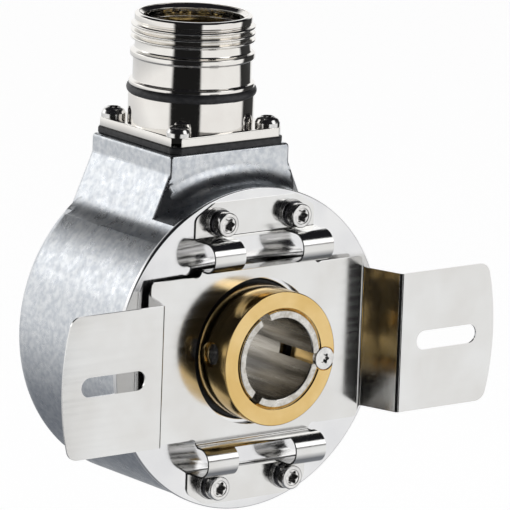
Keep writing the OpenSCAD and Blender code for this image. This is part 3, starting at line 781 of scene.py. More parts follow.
# %% [markdown]
# The stator coupling is one piece of spring sheet: a plate across the shaft, a splayed web and a
# slotted wing at each side, and two loops above and below that end in strips screwed to the flange.
# It could be cut out flat and bent with modifiers, but bending a mesh this thin is easy to get
# wrong. Here the bent middle line of the sheet is drawn as seen from above and pulled up into a
# ribbon, Solidify gives it its thickness, and one boolean with the front view trims it to shape.

# %% Stator coupling: plate, webs and wings
SHEET = 0.35
BEND = 0.75
PLATE_FRONT = -1.85
PLATE_X = 24.6
PLATE_Z = 16.2
PLATE_SIDE_Z = 15.2
WING_X = 27.2
WING_HALF_Z = 13.1
WING_EDGE_R = 49.0
WING_FRONT = sheet_lo.y
SLOT_X = 37.9
SLOT_LENGTH = 14.0
SLOT_WIDTH = 3.6
HOLE_R = RING_R + 1.2
LOOP_HALF_X = 13.4
PLATE_END_Z = PLATE_Z - 0.6


def sheet_ribbon(name, line, plane, start, depth):
    """A bent middle line pulled into a ribbon of sheet."""
    points, push = lay_out(line, plane, start, depth)
    piece = draw_chain(name, points)
    edit(piece)
    bpy.ops.mesh.extrude_region_move(TRANSFORM_OT_translate={"value": push})
    tidy_skin()
    done()
    modify(piece, "SOLIDIFY", thickness=SHEET * MM, offset=0, use_even_offset=True)
    edit(piece)
    tidy_skin()
    done()
    return piece


def slot_outline(centre_x, length, width):
    """A slot with round ends."""
    r = width / 2
    reach = length / 2 - r
    right = circle_points(r, (centre_x + reach, 0), 24, -math.pi / 2, math.pi)
    left = circle_points(r, (centre_x - reach, 0), 24, math.pi / 2, math.pi)
    return right + left


half = SHEET / 2
from_above = [(-WING_EDGE_R - 1, WING_FRONT + half), (-WING_X + half, WING_FRONT + half),
              (-PLATE_X + half, PLATE_FRONT + half), (PLATE_X - half, PLATE_FRONT + half),
              (WING_X - half, WING_FRONT + half), (WING_EDGE_R + 1, WING_FRONT + half)]
coupling = sheet_ribbon("stator_coupling_sheet", round_off(from_above, BEND, closed=False, steps=8),
                        XY, -17, 34)

corner_x = math.sqrt(WING_EDGE_R ** 2 - WING_HALF_Z ** 2)
edge_turn = math.asin((WING_HALF_Z - 3.6) / WING_EDGE_R)
rim = [(p.x, p.y, 0) for p in circle_points(WING_EDGE_R, count=17, start=-edge_turn,
                                            sweep=2 * edge_turn)]
right_side = [(LOOP_HALF_X, -PLATE_END_Z, 0), (LOOP_HALF_X, -PLATE_SIDE_Z, 0),
              (PLATE_X - 0.8, -PLATE_SIDE_Z, 0.6),
              (PLATE_X - 0.3, -WING_HALF_Z, 0.3), (corner_x, -WING_HALF_Z, 3.0), *rim,
              (corner_x, WING_HALF_Z, 3.0), (PLATE_X - 0.3, WING_HALF_Z, 0.3),
              (PLATE_X - 0.8, PLATE_SIDE_Z, 0.6), (LOOP_HALF_X, PLATE_SIDE_Z, 0),
              (LOOP_HALF_X, PLATE_END_Z, 0)]
left_side = [(-p[0], -p[1], p[2]) for p in right_side]
blank = cut_plate("blank", round_off(right_side + left_side, 0.5, steps=6), XZ, -12, 13)
for side in (-1, 1):
    carve(blank, cut_plate("slot", slot_outline(side * SLOT_X, SLOT_LENGTH, SLOT_WIDTH), XZ, -14, 17))
carve(blank, cut_plate("hole", circle_points(HOLE_R, count=128), XZ, -14, 17))
carve(coupling, blank, "INTERSECT")
print("coupling faces:", len(coupling.data.polygons))

# %% [markdown]
# Each loop is the same sheet seen from the side: it leaves the plate's edge, turns through half a
# circle and comes back to lie on the flange as a strip. A window is cut through its middle, which
# leaves two soft tabs and one narrow leg behind, and the strip's corners are cut and rounded.

# %% Stator coupling: loops and strips
LOOP_R = 2.85
LOOP_Y = -3.9
WINDOW_HALF_X = 6.6
LEG = 1.2
LOOP_TOP = PLATE_Z + 2 * LOOP_R
STRIP_END = sheet_hi.z
SCREW_X = 8.3
SCREW_Z = LOOP_TOP + 2.7

bend = circle_points(LOOP_R - half, (LOOP_Y, PLATE_Z + LOOP_R), 25, -math.pi / 2, -math.pi)
from_side = [(PLATE_FRONT + half, PLATE_END_Z - 0.01, 0), (PLATE_FRONT + half, PLATE_Z + half, 0.35),
             *[(p.x, p.y, 0) for p in bend], (-half, LOOP_TOP - half, 0.35),
             (-half, STRIP_END + 1, 0)]
loop = sheet_ribbon("loop", round_off(from_side, 0.3, closed=False), YZ, -LOOP_HALF_X - 1,
                    2 * LOOP_HALF_X + 2)
front_view = [(-LOOP_HALF_X, PLATE_Z - 1, 0), (LOOP_HALF_X, PLATE_Z - 1, 0),
              (LOOP_HALF_X, STRIP_END - 2.5), (SCREW_X + 0.9, STRIP_END),
              (-SCREW_X - 0.9, STRIP_END), (-LOOP_HALF_X, STRIP_END - 2.5)]
carve(loop, cut_plate("trim", round_off(front_view, 1.6, steps=6), XZ, -9, 12), "INTERSECT")
window = [(-WINDOW_HALF_X, PLATE_Z + SHEET), (WINDOW_HALF_X, PLATE_Z + SHEET),
          (WINDOW_HALF_X, LOOP_TOP + 1), (-WINDOW_HALF_X, LOOP_TOP + 1)]
carve(loop, cut_plate("window", window, XZ, -9, 9 - LEG))
for side in (-1, 1):
    hole = circle_points(1.6, (side * SCREW_X, SCREW_Z), 32)
    carve(loop, cut_plate("screw_hole", hole, XZ, -2, 4))

lower_loop = copy_to(loop, "lower_loop", (0, 0, 0))
stand(lower_loop, (0, math.pi, 0))
for one in (loop, lower_loop):
    carve(coupling, one, "UNION")
for side in (-1, 1):
    for top in (-1, 1):
        notch = circle_points(1.2, (side * (LOOP_HALF_X + 0.6), top * PLATE_Z), 32)
        carve(coupling, cut_plate("notch", notch, XZ, PLATE_FRONT - 1, 1.8))
edit(coupling)
tidy_skin()
done()
hand_over(coupling, SHEET_FINISH, "coupling_sheet", "stator", "stator_coupling")

# %% [markdown]
# The flange closes the front of the cup. It is turned in one chuck with the hub that carries both
# bearings, so it is one spun profile from the shaft outwards: seal seat, bearing seat with the
# groove for its retaining ring, hub, spigot with its O-ring groove, and the polished disc. A broken
# edge at the rim gives the thin bright line that a real one shows. Three posts for the housing's
# screws and the threaded holes are added with booleans.

# %% Flange
SHAFT_R = 10.0
COLLET_R = 9.0
BORE_R = 7.5
BEARING_R = 16.0
HUB_R = 17.6
HOUSING_WALL = 2.2
SPIGOT_R = CUP_R - HOUSING_WALL - 0.05
GROOVE_Y = 5.0
SEAL_R = 13.0
SEAL_DEPTH = 3.2
FLANGE_T = 6.0
BEARING_START = 4.0
BEARING_END = 20.0
HUB_END = 22.4
CUP_FLOOR = CUP_END - 2.5
SCREW_RING_R = -rear_screws_lo.z - 2.6


def screw_spot(index, y=0):
    """The place of one of the three screws that hold the cup to the flange."""
    turn = math.radians(30 + 120 * index)
    return SCREW_RING_R * math.cos(turn), y, SCREW_RING_R * math.sin(turn)


flange_profile = [
    (SEAL_R, 0, 0.25), (FLANGE_R, 0, 0.18), (FLANGE_R, FLANGE_RIM, 0.12),
    (SPIGOT_R, FLANGE_RIM, 0), (SPIGOT_R, GROOVE_Y - 0.65, 0.1),
    (SPIGOT_R - 1.1, GROOVE_Y - 0.65, 0.2), (SPIGOT_R - 1.1, GROOVE_Y + 0.65, 0.2),
    (SPIGOT_R, GROOVE_Y + 0.65, 0.1), (SPIGOT_R, FLANGE_T, 0.2),
    (HUB_R, FLANGE_T, 0.4), (HUB_R, HUB_END, 0.3), (BEARING_R, HUB_END, 0.2),
    (BEARING_R, BEARING_END + 1.2, 0), (BEARING_R + 0.8, BEARING_END + 1.2, 0),
    (BEARING_R + 0.8, BEARING_END, 0), (BEARING_R, BEARING_END, 0), (BEARING_R, BEARING_START, 0),
    (14.2, BEARING_START, 0.1), (14.2, SEAL_DEPTH, 0), (SEAL_R, SEAL_DEPTH, 0)]
flange = spin_part("flange_turned", round_off(flange_profile, 0, steps=3), steps=192)
for index in range(3):
    post_profile = [(1.25, FLANGE_T - 0.5), (2.5, FLANGE_T - 0.5), (2.5, CUP_FLOOR),
                    (1.25, CUP_FLOOR)]
    post = spin_part("post", post_profile, 32, screw_spot(index))
    carve(flange, post, "UNION")
hand_over(flange, FLANGE_FINISH, "polished_steel", "stator", "flange")

# %% [markdown]
# The housing is a casting: a round cup with a rear edge rounded by 3 mm, and a tower whose sides
# stand upright at the top, lean outwards, and run into the cup through a hollow foot. The foot's
# hollow dips slightly into the cup and leaves a crisp ridge along it. The tower is cut from one
# outline, so its front and rear edges can be rounded by a bevel before anything is joined: a bevel
# is reliable on a plain prism, and not on the curve where two solids have met.

# %% Housing: the cast body
TOWER_FRONT = 7.7
TOWER_HALF = 13.5
TOWER_KNEE = TOWER_TOP - 3.5
TOWER_LEAN = math.radians(24)
TOWER_EDGE = 0.6
FOOT_X = 20.6
FOOT_SLOPE = math.radians(15.5)
REAR_EDGE = 1.2
COVE_R = 4.5
FOOT_STEPS = 16
foot_z = math.sqrt(CUP_R ** 2 - FOOT_X ** 2)
foot_rise = ((FOOT_X - TOWER_HALF) * math.cos(TOWER_LEAN)
             + (foot_z - TOWER_KNEE) * math.sin(TOWER_LEAN))
FOOT_R = foot_rise / (1 - math.sin(TOWER_LEAN + FOOT_SLOPE))
foot_centre = (FOOT_X + FOOT_R * math.sin(FOOT_SLOPE), foot_z + FOOT_R * math.cos(FOOT_SLOPE))


def foot_arc(inset=0.0):
    """The hollow of the right foot, from the leaning side to the ridge, where an inset fades out."""
    points = []
    for step in range(FOOT_STEPS + 1):
        turn = math.pi + TOWER_LEAN + (math.pi / 2 - TOWER_LEAN - FOOT_SLOPE) * step / FOOT_STEPS
        radius = FOOT_R + inset * (1 - step / FOOT_STEPS)
        points.append((foot_centre[0] + radius * math.cos(turn),
                       foot_centre[1] + radius * math.sin(turn), 0))
    return points


def both_sides(right):
    """An outline made of a right side and its mirror image, with its corners rounded."""
    left = [(-p[0], *p[1:]) for p in reversed(right)]
    return round_off(right + left, 0, steps=4)


def soft_prism(name, outline, start, end, rims):
    """A prism along Y. Each rim is a place along Y and the radius of the edge there."""
    prism = cut_plate(name, outline, XZ, start, end - start)
    for place, radius in rims:
        edit(prism)
        choose("edges", lambda p: abs(p.y - place) < 0.001)
        bpy.ops.mesh.bevel(offset=radius * MM, segments=4, affect="EDGES", clamp_overlap=False)
        tidy_skin()
        done()
    return prism


def footed_side(inset=0.0):
    return [(TOWER_HALF - inset, TOWER_TOP, 0.7), (TOWER_HALF - inset, TOWER_KNEE, 1.2),
            *foot_arc(inset), (FOOT_X - 1.5, CUP_R / 2, 0)]


root_half = TOWER_HALF + (TOWER_KNEE - CUP_R / 2) * math.tan(TOWER_LEAN)
plain_side = [(TOWER_HALF - 0.02, TOWER_TOP, 0.7), (TOWER_HALF - 0.02, TOWER_KNEE, 1.2),
              (root_half, CUP_R / 2, 0)]
cup_profile = [(0, FLANGE_RIM, 0), (CUP_R, FLANGE_RIM, 0), (CUP_R, CUP_END, 3.0), (0, CUP_END, 0)]
housing = spin_part("cast_housing", round_off(cup_profile, 0, steps=10), steps=192)
for side in (-1, 1):
    hollow = [(side * p[0], p[1]) for p in foot_arc()]
    hollow += [(side * (FOOT_X + 6), foot_z - 6 * math.tan(FOOT_SLOPE)), (side * (FOOT_X + 6), 42),
               (hollow[0][0], 42)]
    carve(housing, cut_plate("hollow", hollow, XZ, FLANGE_RIM - 1, 40))
rear_body = soft_prism("rear_body", both_sides(plain_side), 16, CUP_END, [(CUP_END, REAR_EDGE)])
carve(housing, rear_body, "UNION")
foot_end = CUP_END - 1.8
front_body = soft_prism("front_body", both_sides(footed_side()), TOWER_FRONT, foot_end,
                        [(TOWER_FRONT, TOWER_EDGE), (foot_end, REAR_EDGE)])
carve(housing, front_body, "UNION")
print("cast body:", len(housing.data.polygons), "faces")

# %% [markdown]
# The cove fills the corner between the tower's front and the cup. It is spun about the shaft's axis
# and trimmed by the tower's own outline, drawn slightly smaller so that it ends inside the rounded
# edge. At each side it is also cut back slantwise, along a plane that starts at the leaning edge and
# falls inwards to the cup. The plane meets the cove at a shallow angle near the knee, which leaves a
# ragged step there. A cut that followed the outline would be cleaner.

# %% Housing: the cove
SLANT_IN = 4.8
SLANT_BACK = 2.9
SLANT_FRONT = 9.5
SLANT_REACH = 40
cove_start = CUP_R + COVE_R - 0.05
cove_arc = circle_points(COVE_R, (cove_start, TOWER_FRONT - COVE_R), 14, math.pi, -math.pi / 2)
cove_profile = [(CUP_R - 3, TOWER_FRONT - COVE_R), *[(p.x, p.y) for p in cove_arc],
                (cove_start, TOWER_FRONT + 1), (CUP_R - 3, TOWER_FRONT + 1)]
cove = spin_part("cove", cove_profile, steps=192)
carve(cove, cut_plate("cove_trim", both_sides(footed_side(0.05)), XZ, 0, TOWER_FRONT + 0.9),
      "INTERSECT")
for side in (-1, 1):
    slant = [(-side * SLANT_REACH, SLANT_FRONT), (0, SLANT_FRONT), (0, TOWER_FRONT + 0.05),
             (-side * SLANT_IN, SLANT_BACK), (-side * SLANT_REACH, SLANT_BACK)]
    keep = cut_plate("slant", slant, XY, -40, 70)
    stand(keep, (0, -side * TOWER_LEAN, 0), (side * (TOWER_HALF - 0.3), 0, TOWER_KNEE))
    carve(cove, keep, "INTERSECT")
carve(housing, cove, "UNION")

# %% [markdown]
# The milled cuts: the front edge that seats the flange, the cavity, the hole for the shaft at the
# back, the seat of the connector, and the screw holes with their counterbores.

# %% Housing: the milled cuts
FLOOR_HOLE_R = SHAFT_R + 2.5
CAVITY_R = CUP_R - HOUSING_WALL
CONNECTOR_HOLE_R = 9.9
FOOT_PITCH = 20.2

front_cut = [(-40, -4), (40, -4), (40, FLANGE_RIM), (-40, FLANGE_RIM)]
carve(housing, cut_plate("front_cut", front_cut, XY, -50, 110))
cavity = [(0, 0, 0), (CAVITY_R, 0, 0), (CAVITY_R, CUP_FLOOR, 1.0), (0, CUP_FLOOR, 0)]
carve(housing, spin_part("cavity", round_off(cavity, 0), steps=144))
tower_room = [(-TOWER_HALF + 2.6, 20), (TOWER_HALF - 2.6, 20), (TOWER_HALF - 2.6, TOWER_TOP - 6.5),
              (-TOWER_HALF + 2.6, TOWER_TOP - 6.5)]
carve(housing, cut_plate("tower_room", tower_room, XZ, TOWER_FRONT + 2.6,
                         CUP_FLOOR - TOWER_FRONT - 2.6))
shaft_hole = [(0, CUP_FLOOR - 2), (FLOOR_HOLE_R, CUP_FLOOR - 2), (FLOOR_HOLE_R, CUP_END - 0.4),
              (FLOOR_HOLE_R + 1, CUP_END + 0.6), (0, CUP_END + 0.6)]
carve(housing, spin_part("shaft_hole", shaft_hole, steps=96))
connector_hole = [(0, TOWER_TOP - 10), (CONNECTOR_HOLE_R, TOWER_TOP - 10),
                  (CONNECTOR_HOLE_R, TOWER_TOP + 2), (0, TOWER_TOP + 2)]
carve(housing, spin_part("connector_hole", connector_hole, 96, (0, CONNECTOR_Y, 0), "Z"))
for index in range(3):
    hole = [(0, CUP_FLOOR - 1), (1.6, CUP_FLOOR - 1), (1.6, CUP_END - 1.6), (2.8, CUP_END - 1.6),
            (2.8, CUP_END - 0.25), (3.3, CUP_END + 0.3), (0, CUP_END + 0.3)]
    carve(housing, spin_part("screw_hole", hole, 40, screw_spot(index)))
hand_over(housing, CAST, "cast_aluminium", "stator", "housing", smooth=38)
modify(housing, "WEIGHTED_NORMAL", keep_sharp=True)

# %% [markdown]
# The connector's shell is turned from brass bar and plated, apart from its foot, which is milled
# square. So it is a spun body joined to a cut plate. The rings and thread ridges stand on the barrel
# as small lands with rounded edges, and it is those rounded edges that break the long reflections
# into the fine lines seen on such a part.

# %% Connector shell
FOOT_T = 1.7
BARREL_Z = FOOT_Z + FOOT_T
BASE_R = 11.6
BARREL_R = 10.92
THREAD_R = 11.5
ROOT_R = BARREL_R - 0.3
SOCKET_R = 9.3
INSERT_R = 8.2
INSERT_TOP = BARREL_Z + 10.3
SHELL_FOOT = TOWER_TOP - 2.6
O_RING_Z = BARREL_Z + 6.3
CONNECTOR = (0, CONNECTOR_Y, 0)


def square_foot(half, corner):
    """The foot's outline, a square with its corners cut."""
    points = []
    for quarter in range(4):
        turn = Matrix.Rotation(math.pi / 2 * quarter, 2)
        points += [turn @ Vector((half, -half + corner)), turn @ Vector((half, half - corner))]
    return [(p.x, p.y + CONNECTOR_Y) for p in points]


def barrel_profile():
    z = BARREL_Z
    profile = [(0, SHELL_FOOT, 0), (9.85, SHELL_FOOT, 0.4), (9.85, FOOT_Z + 0.6, 0),
               (BASE_R, FOOT_Z + 0.6, 0), (BASE_R, z + 5.5, 0.12), (BASE_R - 1.1, z + 5.5, 0.1),
               (BASE_R - 1.1, z + 7.1, 0.1), (BASE_R, z + 7.1, 0.10), (BASE_R, z + 7.85, 0.35),
               (BARREL_R, z + 7.95, 0.15), (BARREL_R, z + 12.1, 0.10), (THREAD_R, z + 12.35, 0.3),
               (THREAD_R, z + 13.35, 0.3), (BARREL_R - 0.05, z + 13.65, 0.1),
               (ROOT_R + 0.1, z + 13.9, 0.1)]
    for ridge in range(3):
        start = z + 15.3 + 1.22 * ridge
        profile += [(ROOT_R, start, 0.12), (THREAD_R, start + 0.32, 0.18),
                    (THREAD_R, start + 0.62, 0.18), (ROOT_R, start + 0.94, 0.12)]
    profile += [(BARREL_R - 0.05, z + 19.1, 0.1), (BARREL_R - 0.05, SHELL_TOP - 0.25, 0.2),
                (BARREL_R - 0.45, SHELL_TOP, 0.15), (0, SHELL_TOP, 0)]
    return round_off(profile, 0, steps=4)


def socket_profile():
    """The hole down the middle, with the fine steps that the mating plug latches on."""
    profile = [(0, SHELL_FOOT - 1, 0), (INSERT_R, SHELL_FOOT - 1, 0), (INSERT_R, INSERT_TOP, 0),
               (SOCKET_R, INSERT_TOP, 0)]
    for step in range(4):
        start = SHELL_TOP - 6.4 + 1.3 * step
        profile += [(SOCKET_R, start, 0), (SOCKET_R + 0.18, start + 0.15, 0.05),
                    (SOCKET_R + 0.18, start + 0.5, 0.05), (SOCKET_R, start + 0.65, 0)]
    profile += [(SOCKET_R, SHELL_TOP - 0.75, 0.1), (SOCKET_R + 0.75, SHELL_TOP - 0.12, 0.1),
                (SOCKET_R + 0.75, SHELL_TOP + 1, 0), (0, SHELL_TOP + 1, 0)]
    return round_off(profile, 0, steps=3)


shell = cut_plate("connector_shell_plated", square_foot(FOOT_HALF, 1.44), XY, FOOT_Z, FOOT_T)
break_edges(shell, 0.12, angle=30)
carve(shell, spin_part("barrel", barrel_profile(), 192, CONNECTOR, "Z"), "UNION")
carve(shell, spin_part("socket", socket_profile(), 192, CONNECTOR, "Z"))
for side in (-1, 1):
    for end in (-1, 1):
        corner = (side * FOOT_PITCH / 2, CONNECTOR_Y + end * FOOT_PITCH / 2, 0)
        bolt_hole = [(0, FOOT_Z - 1), (1.6, FOOT_Z - 1), (1.6, BARREL_Z + 1), (0, BARREL_Z + 1)]
        carve(shell, spin_part("bolt_hole", bolt_hole, 32, corner, "Z"))
hand_over(shell, NICKEL, "nickel_plate", "stator", "connector_shell", smooth=30)

# %% [markdown]
# Rubber is squeezed where it is clamped, so its edges bulge softly. The gasket is a cut plate whose
# edges are rounded by a bevel of several segments, and each O-ring is a round section spun about its
# axis. A torus would do for the ring alone, but the spun section can be flattened a little where it
# lies in its groove.

# %% Gasket and O-ring
O_RING_R = 0.98


def round_section(radius, centre, count=28, squash=1.0):
    """A round profile, squashed along the radius."""
    return [(centre[0] + (p.x - centre[0]) * squash, p.y)
            for p in circle_points(radius, centre, count)]


gasket = cut_plate("connector_gasket_rubber", square_foot(gasket_hi.x, 1.6), XY, TOWER_TOP,
                   FOOT_Z - TOWER_TOP)
modify(gasket, "BEVEL", width=0.28 * MM, segments=4, limit_method="ANGLE",
       angle_limit=math.radians(30))
carve(gasket, spin_part("gasket_hole", [(0, TOWER_TOP - 1), (CONNECTOR_HOLE_R, TOWER_TOP - 1),
                                        (CONNECTOR_HOLE_R, FOOT_Z + 1), (0, FOOT_Z + 1)],
                        96, CONNECTOR, "Z"))
hand_over(gasket, RUBBER, "black_rubber", "stator", "connector_gasket", smooth=45)

o_ring = spin_part("connector_o_ring_rubber",
                   round_section(O_RING_R, (BASE_R - 0.55, O_RING_Z), squash=0.97),
                   160, CONNECTOR, "Z")
hand_over(o_ring, RUBBER, "black_rubber", "stator", "connector_o_ring", smooth=60)

# %% [markdown]
# The insert is a moulded plug with a raised island round the contacts, and each contact is a turned
# pin with a rounded tip. One pin is modelled and copied to the twelve places, nine on a circle and
# three inside it.

# %% Contact insert and pins
PIN_R = 0.5
PIN_TOP = INSERT_TOP + 6.2
pin_places = [(5.1 * math.cos(a), 5.1 * math.sin(a))
              for a in (math.radians(90 + 40 * i) for i in range(9))]
pin_places += [(1.9 * math.cos(a), 1.9 * math.sin(a))
               for a in (math.radians(30 + 120 * i) for i in range(3))]

insert_profile = [(0, SHELL_FOOT, 0), (INSERT_R - 0.05, SHELL_FOOT, 0.2),
                  (INSERT_R - 0.05, INSERT_TOP, 0.25), (6.6, INSERT_TOP, 0.1),
                  (6.6, INSERT_TOP + 1, 0.25), (0, INSERT_TOP + 1, 0)]
insert = spin_part("contact_insert_moulded", round_off(insert_profile, 0, steps=3), 96,
                   CONNECTOR, "Z")
for x, y in pin_places:
    well = [(0, INSERT_TOP + 0.4), (PIN_R + 0.25, INSERT_TOP + 0.4), (PIN_R + 0.4, INSERT_TOP + 1.2),
            (0, INSERT_TOP + 1.2)]
    carve(insert, spin_part("well", well, 20, (x, CONNECTOR_Y + y, 0), "Z"))
hand_over(insert, BROWN, "insert_brown", "stator", "contact_insert", smooth=35)

pin_profile = [(0, TOWER_TOP - 5.6, 0), (PIN_R, TOWER_TOP - 5.6, 0.1), (PIN_R, PIN_TOP - 0.1, 0.1),
               (PIN_R * 0.72, PIN_TOP + 0.35, 0.2), (0, PIN_TOP + PIN_R, 0)]
x, y = pin_places[0]
first_pin = spin_part("contact_pin_1", round_off(pin_profile, 0, steps=3), 20,
                      (x, CONNECTOR_Y + y, 0), "Z")
pins = [first_pin]
for index, (px, py) in enumerate(pin_places[1:], start=2):
    pins.append(copy_to(first_pin, f"contact_pin_{index}", (px - x, py - y, 0)))
for pin in pins:
    hand_over(pin, CONTACT, "contact_gold", "stator", "contact_pins", smooth=40)

# %% [markdown]
# All the screws have a six-lobed drive. The recess is one wavy outline, a circle whose radius swings
# six times round the turn, pushed into the head. A head is a spun profile: pan heads are crowned,
# cap heads are plain cylinders with a rounded rim. Each kind of screw is made once at the origin,
# stood at its first place, and copied to the others.

# %% Screws
PAN_H = 1.9
CAP_HEAD_D = 4.5
CAP_HEAD_H = 1.9


def star_recess(size, top, depth):
    """A tool for cutting a six-lobed recess down from top."""
    outline = []
    for index in range(72):
        turn = 2 * math.pi * index / 72
        radius = size / 2 * (0.85 + 0.15 * math.cos(6 * turn))
        outline.append((radius * math.cos(turn), radius * math.sin(turn)))
    return cut_plate("recess", outline, XY, top - depth, depth + 1)


def make_screw(name, profile, drive, head_h, thread_d, length):
    """A screw along Z whose head stands on z = 0. The profile is the head's, rim to middle."""
    thread = thread_d / 2
    steps = max(4, int(length / 0.5))
    shank = [(0, -length, 0), (thread - 0.25, -length, 0)]
    for step in range(steps):
        z = -length + 0.3 + (length - 0.3) * step / steps
        shank += [(thread - 0.12, z, 0), (thread, z + 0.2 * (length - 0.3) / steps, 0)]
    screw = spin_part(name, round_off([*shank, (thread, 0, 0), *profile], 0, steps=4), 48, axis="Z")
    carve(screw, star_recess(drive, head_h, head_h * 0.62))
    return screw


pan = [(2.3, 0, 0), (2.3, 0.75, 0.35), (1.9, 1.55, 0.7), (1.1, PAN_H, 0.8), (0, PAN_H, 0)]
connector_screw = make_screw("connector_screw_1", pan, 2.5, PAN_H, 3.0, 7.5)
stand(connector_screw, (0, 0, 0.3), (-FOOT_PITCH / 2, CONNECTOR_Y - FOOT_PITCH / 2, BARREL_Z))
connector_screws = [connector_screw]
for index, (sx, sy) in enumerate([(1, 0), (0, 1), (1, 1)], start=2):
    connector_screws.append(copy_to(connector_screw, f"connector_screw_{index}",
                                    (sx * FOOT_PITCH, sy * FOOT_PITCH, 0)))
for screw in connector_screws:
    hand_over(screw, SCREW, "screw_steel", "stator", "connector_screws", smooth=35)

rear_head = [(2.6, 0, 0), (2.6, 1.1, 0.3), (2.2, 1.5, 0.2), (0, 1.5, 0)]
rear_screw = make_screw("housing_screw_1", rear_head, 2.7, 1.5, 3.0, 8.0)
for index in range(3):
    one = rear_screw if index == 2 else copy_to(rear_screw, f"housing_screw_{index + 2}", (0, 0, 0))
    stand(one, (-math.pi / 2, 0, 0), screw_spot(index, CUP_END - 1.6))
    hand_over(one, SCREW, "screw_steel", "stator", "housing_screws", smooth=35)

# %% [markdown]
# Each coupling screw presses on a split spring washer and a flat washer. The spring washer is cut
# and its ends stand apart, so it is a spun ring with a thin wedge taken out. All three are stacked
# from the strip forwards, in the order in which a fitter puts them on.

# %% Coupling screws and washers
STRIP_FRONT = -SHEET
WASHER_T = 0.5
SPRING_T = 0.8
WASHER_R = washers_hi.x - SCREW_X
STACK_TOP = STRIP_FRONT - WASHER_T - SPRING_T


def ring_part(name, inner, outer, height, edge, steps=64):
    """A flat ring on z = 0 with rounded edges."""
    profile = [(inner, 0, edge / 2), (outer, 0, edge), (outer, height, edge),
               (inner, height, edge / 2)]
    return spin_part(name, round_off(profile, 0, steps=3), steps, axis="Z")


flat_washer = ring_part("coupling_washer_1", 1.35, WASHER_R, WASHER_T, 0.12)
spring_washer = ring_part("coupling_lock_washer_1", 1.35, WASHER_R - 0.15, SPRING_T, 0.16)
split = [(1.0, -0.18), (WASHER_R + 1, -0.18), (WASHER_R + 1, 0.18), (1.0, 0.18)]
gap = cut_plate("split", split, XY, -1, SPRING_T + 2)
stand(gap, (0, 0, -0.9))
carve(spring_washer, gap)
cap = [(CAP_HEAD_D / 2, 0, 0.1), (CAP_HEAD_D / 2, CAP_HEAD_H, 0.28), (1.55, CAP_HEAD_H, 0.08),
       (1.45, CAP_HEAD_H - 0.12, 0), (0, CAP_HEAD_H - 0.12, 0)]
cap_screw = make_screw("coupling_screw_1", cap, 2.75, CAP_HEAD_H, 2.5, 5.5)
stack = [(flat_washer, STRIP_FRONT, SCREW, "screw_steel", "coupling_washers"),
         (spring_washer, STRIP_FRONT - WASHER_T, SPRING, "dark_steel", "coupling_lock_washers"),
         (cap_screw, STACK_TOP, SCREW, "screw_steel", "coupling_screws")]
for part, front, finish, slot_name, node in stack:
    stand(part, (math.pi / 2, 0, 0), (-SCREW_X, front, SCREW_Z))
    family = [part]
    base_name = part.name[:-1]
    for index, (dx, dz) in enumerate([(1, 0), (0, 1), (1, 1)], start=2):
        family.append(copy_to(part, base_name + str(index),
                              (dx * 2 * SCREW_X, 0, -dz * 2 * SCREW_Z)))
    for one in family:
        hand_over(one, finish, slot_name, "stator", node, smooth=35)

# %% [markdown]
# The shaft group turns as one: hollow shaft, clamp ring and two screws. It stands a few degrees round
# from square, so each part is made square to the axes, where its slots and holes are easy to cut,
# and is turned at the end. The collet's three slots let the clamp ring squeeze it on to the motor's
# shaft.

# %% Hollow shaft
COLLET_FRONT = shaft_lo.y
SLOT_W = 2.0
SLOT_END = COLLET_FRONT + 9.8
LOCK_X = 10.35
LOCK_HEAD_R = 2.1
LOCK_HEAD_H = 0.9


def lock_seat():
    """The round seat for the lock screw's head, half in the ring and half in the collet."""
    seat_r = LOCK_HEAD_R + 0.18
    return spin_part("lock_seat", [(0, COLLET_FRONT - 1), (seat_r, COLLET_FRONT - 1),
                                   (seat_r, COLLET_FRONT + LOCK_HEAD_H),
                                   (0, COLLET_FRONT + LOCK_HEAD_H)],
                     64, (LOCK_X, 0, 0))


shaft_profile = [
    (BORE_R, COLLET_FRONT, 0.35), (COLLET_R, COLLET_FRONT, 0.2), (COLLET_R, BEARING_START, 0.1),
    (SHAFT_R, BEARING_START, 0.3), (SHAFT_R, 11.0, 0), (SHAFT_R + 1.4, 11.0, 0.2),
    (SHAFT_R + 1.4, 13.0, 0.2), (SHAFT_R, 13.0, 0), (SHAFT_R, shaft_hi.y, 0.35),
    (BORE_R, shaft_hi.y, 0.4)]
shaft = spin_part("hollow_shaft_turned", round_off(shaft_profile, 0, steps=3), 192)
for index in range(3):
    slot_block = [(0, -SLOT_W / 2), (COLLET_R + 1, -SLOT_W / 2), (COLLET_R + 1, SLOT_W / 2),
                  (0, SLOT_W / 2)]
    saw = cut_plate("saw", slot_block, XZ, COLLET_FRONT - 1, SLOT_END - COLLET_FRONT + 1)
    stand(saw, (0, -math.radians(120 * index), 0))
    carve(shaft, saw)
carve(shaft, lock_seat())
stand(shaft, (0, SHAFT_TURN, 0))
hand_over(shaft, HONED, "shaft_steel", "rotor", "hollow_shaft", smooth=30)

# %% [markdown]
# The clamp ring is a turned ring with broken edges, a wide chamfer inside its front, a tapped hole in
# its side, and the seat of the lock screw in its face.

# %% Clamp ring
RING_FRONT = ring_lo.y
RING_REAR = ring_hi.y
CLAMP_Y = RING_FRONT + 8.4 * 0.55
CLAMP_HOLE_R = 2.3

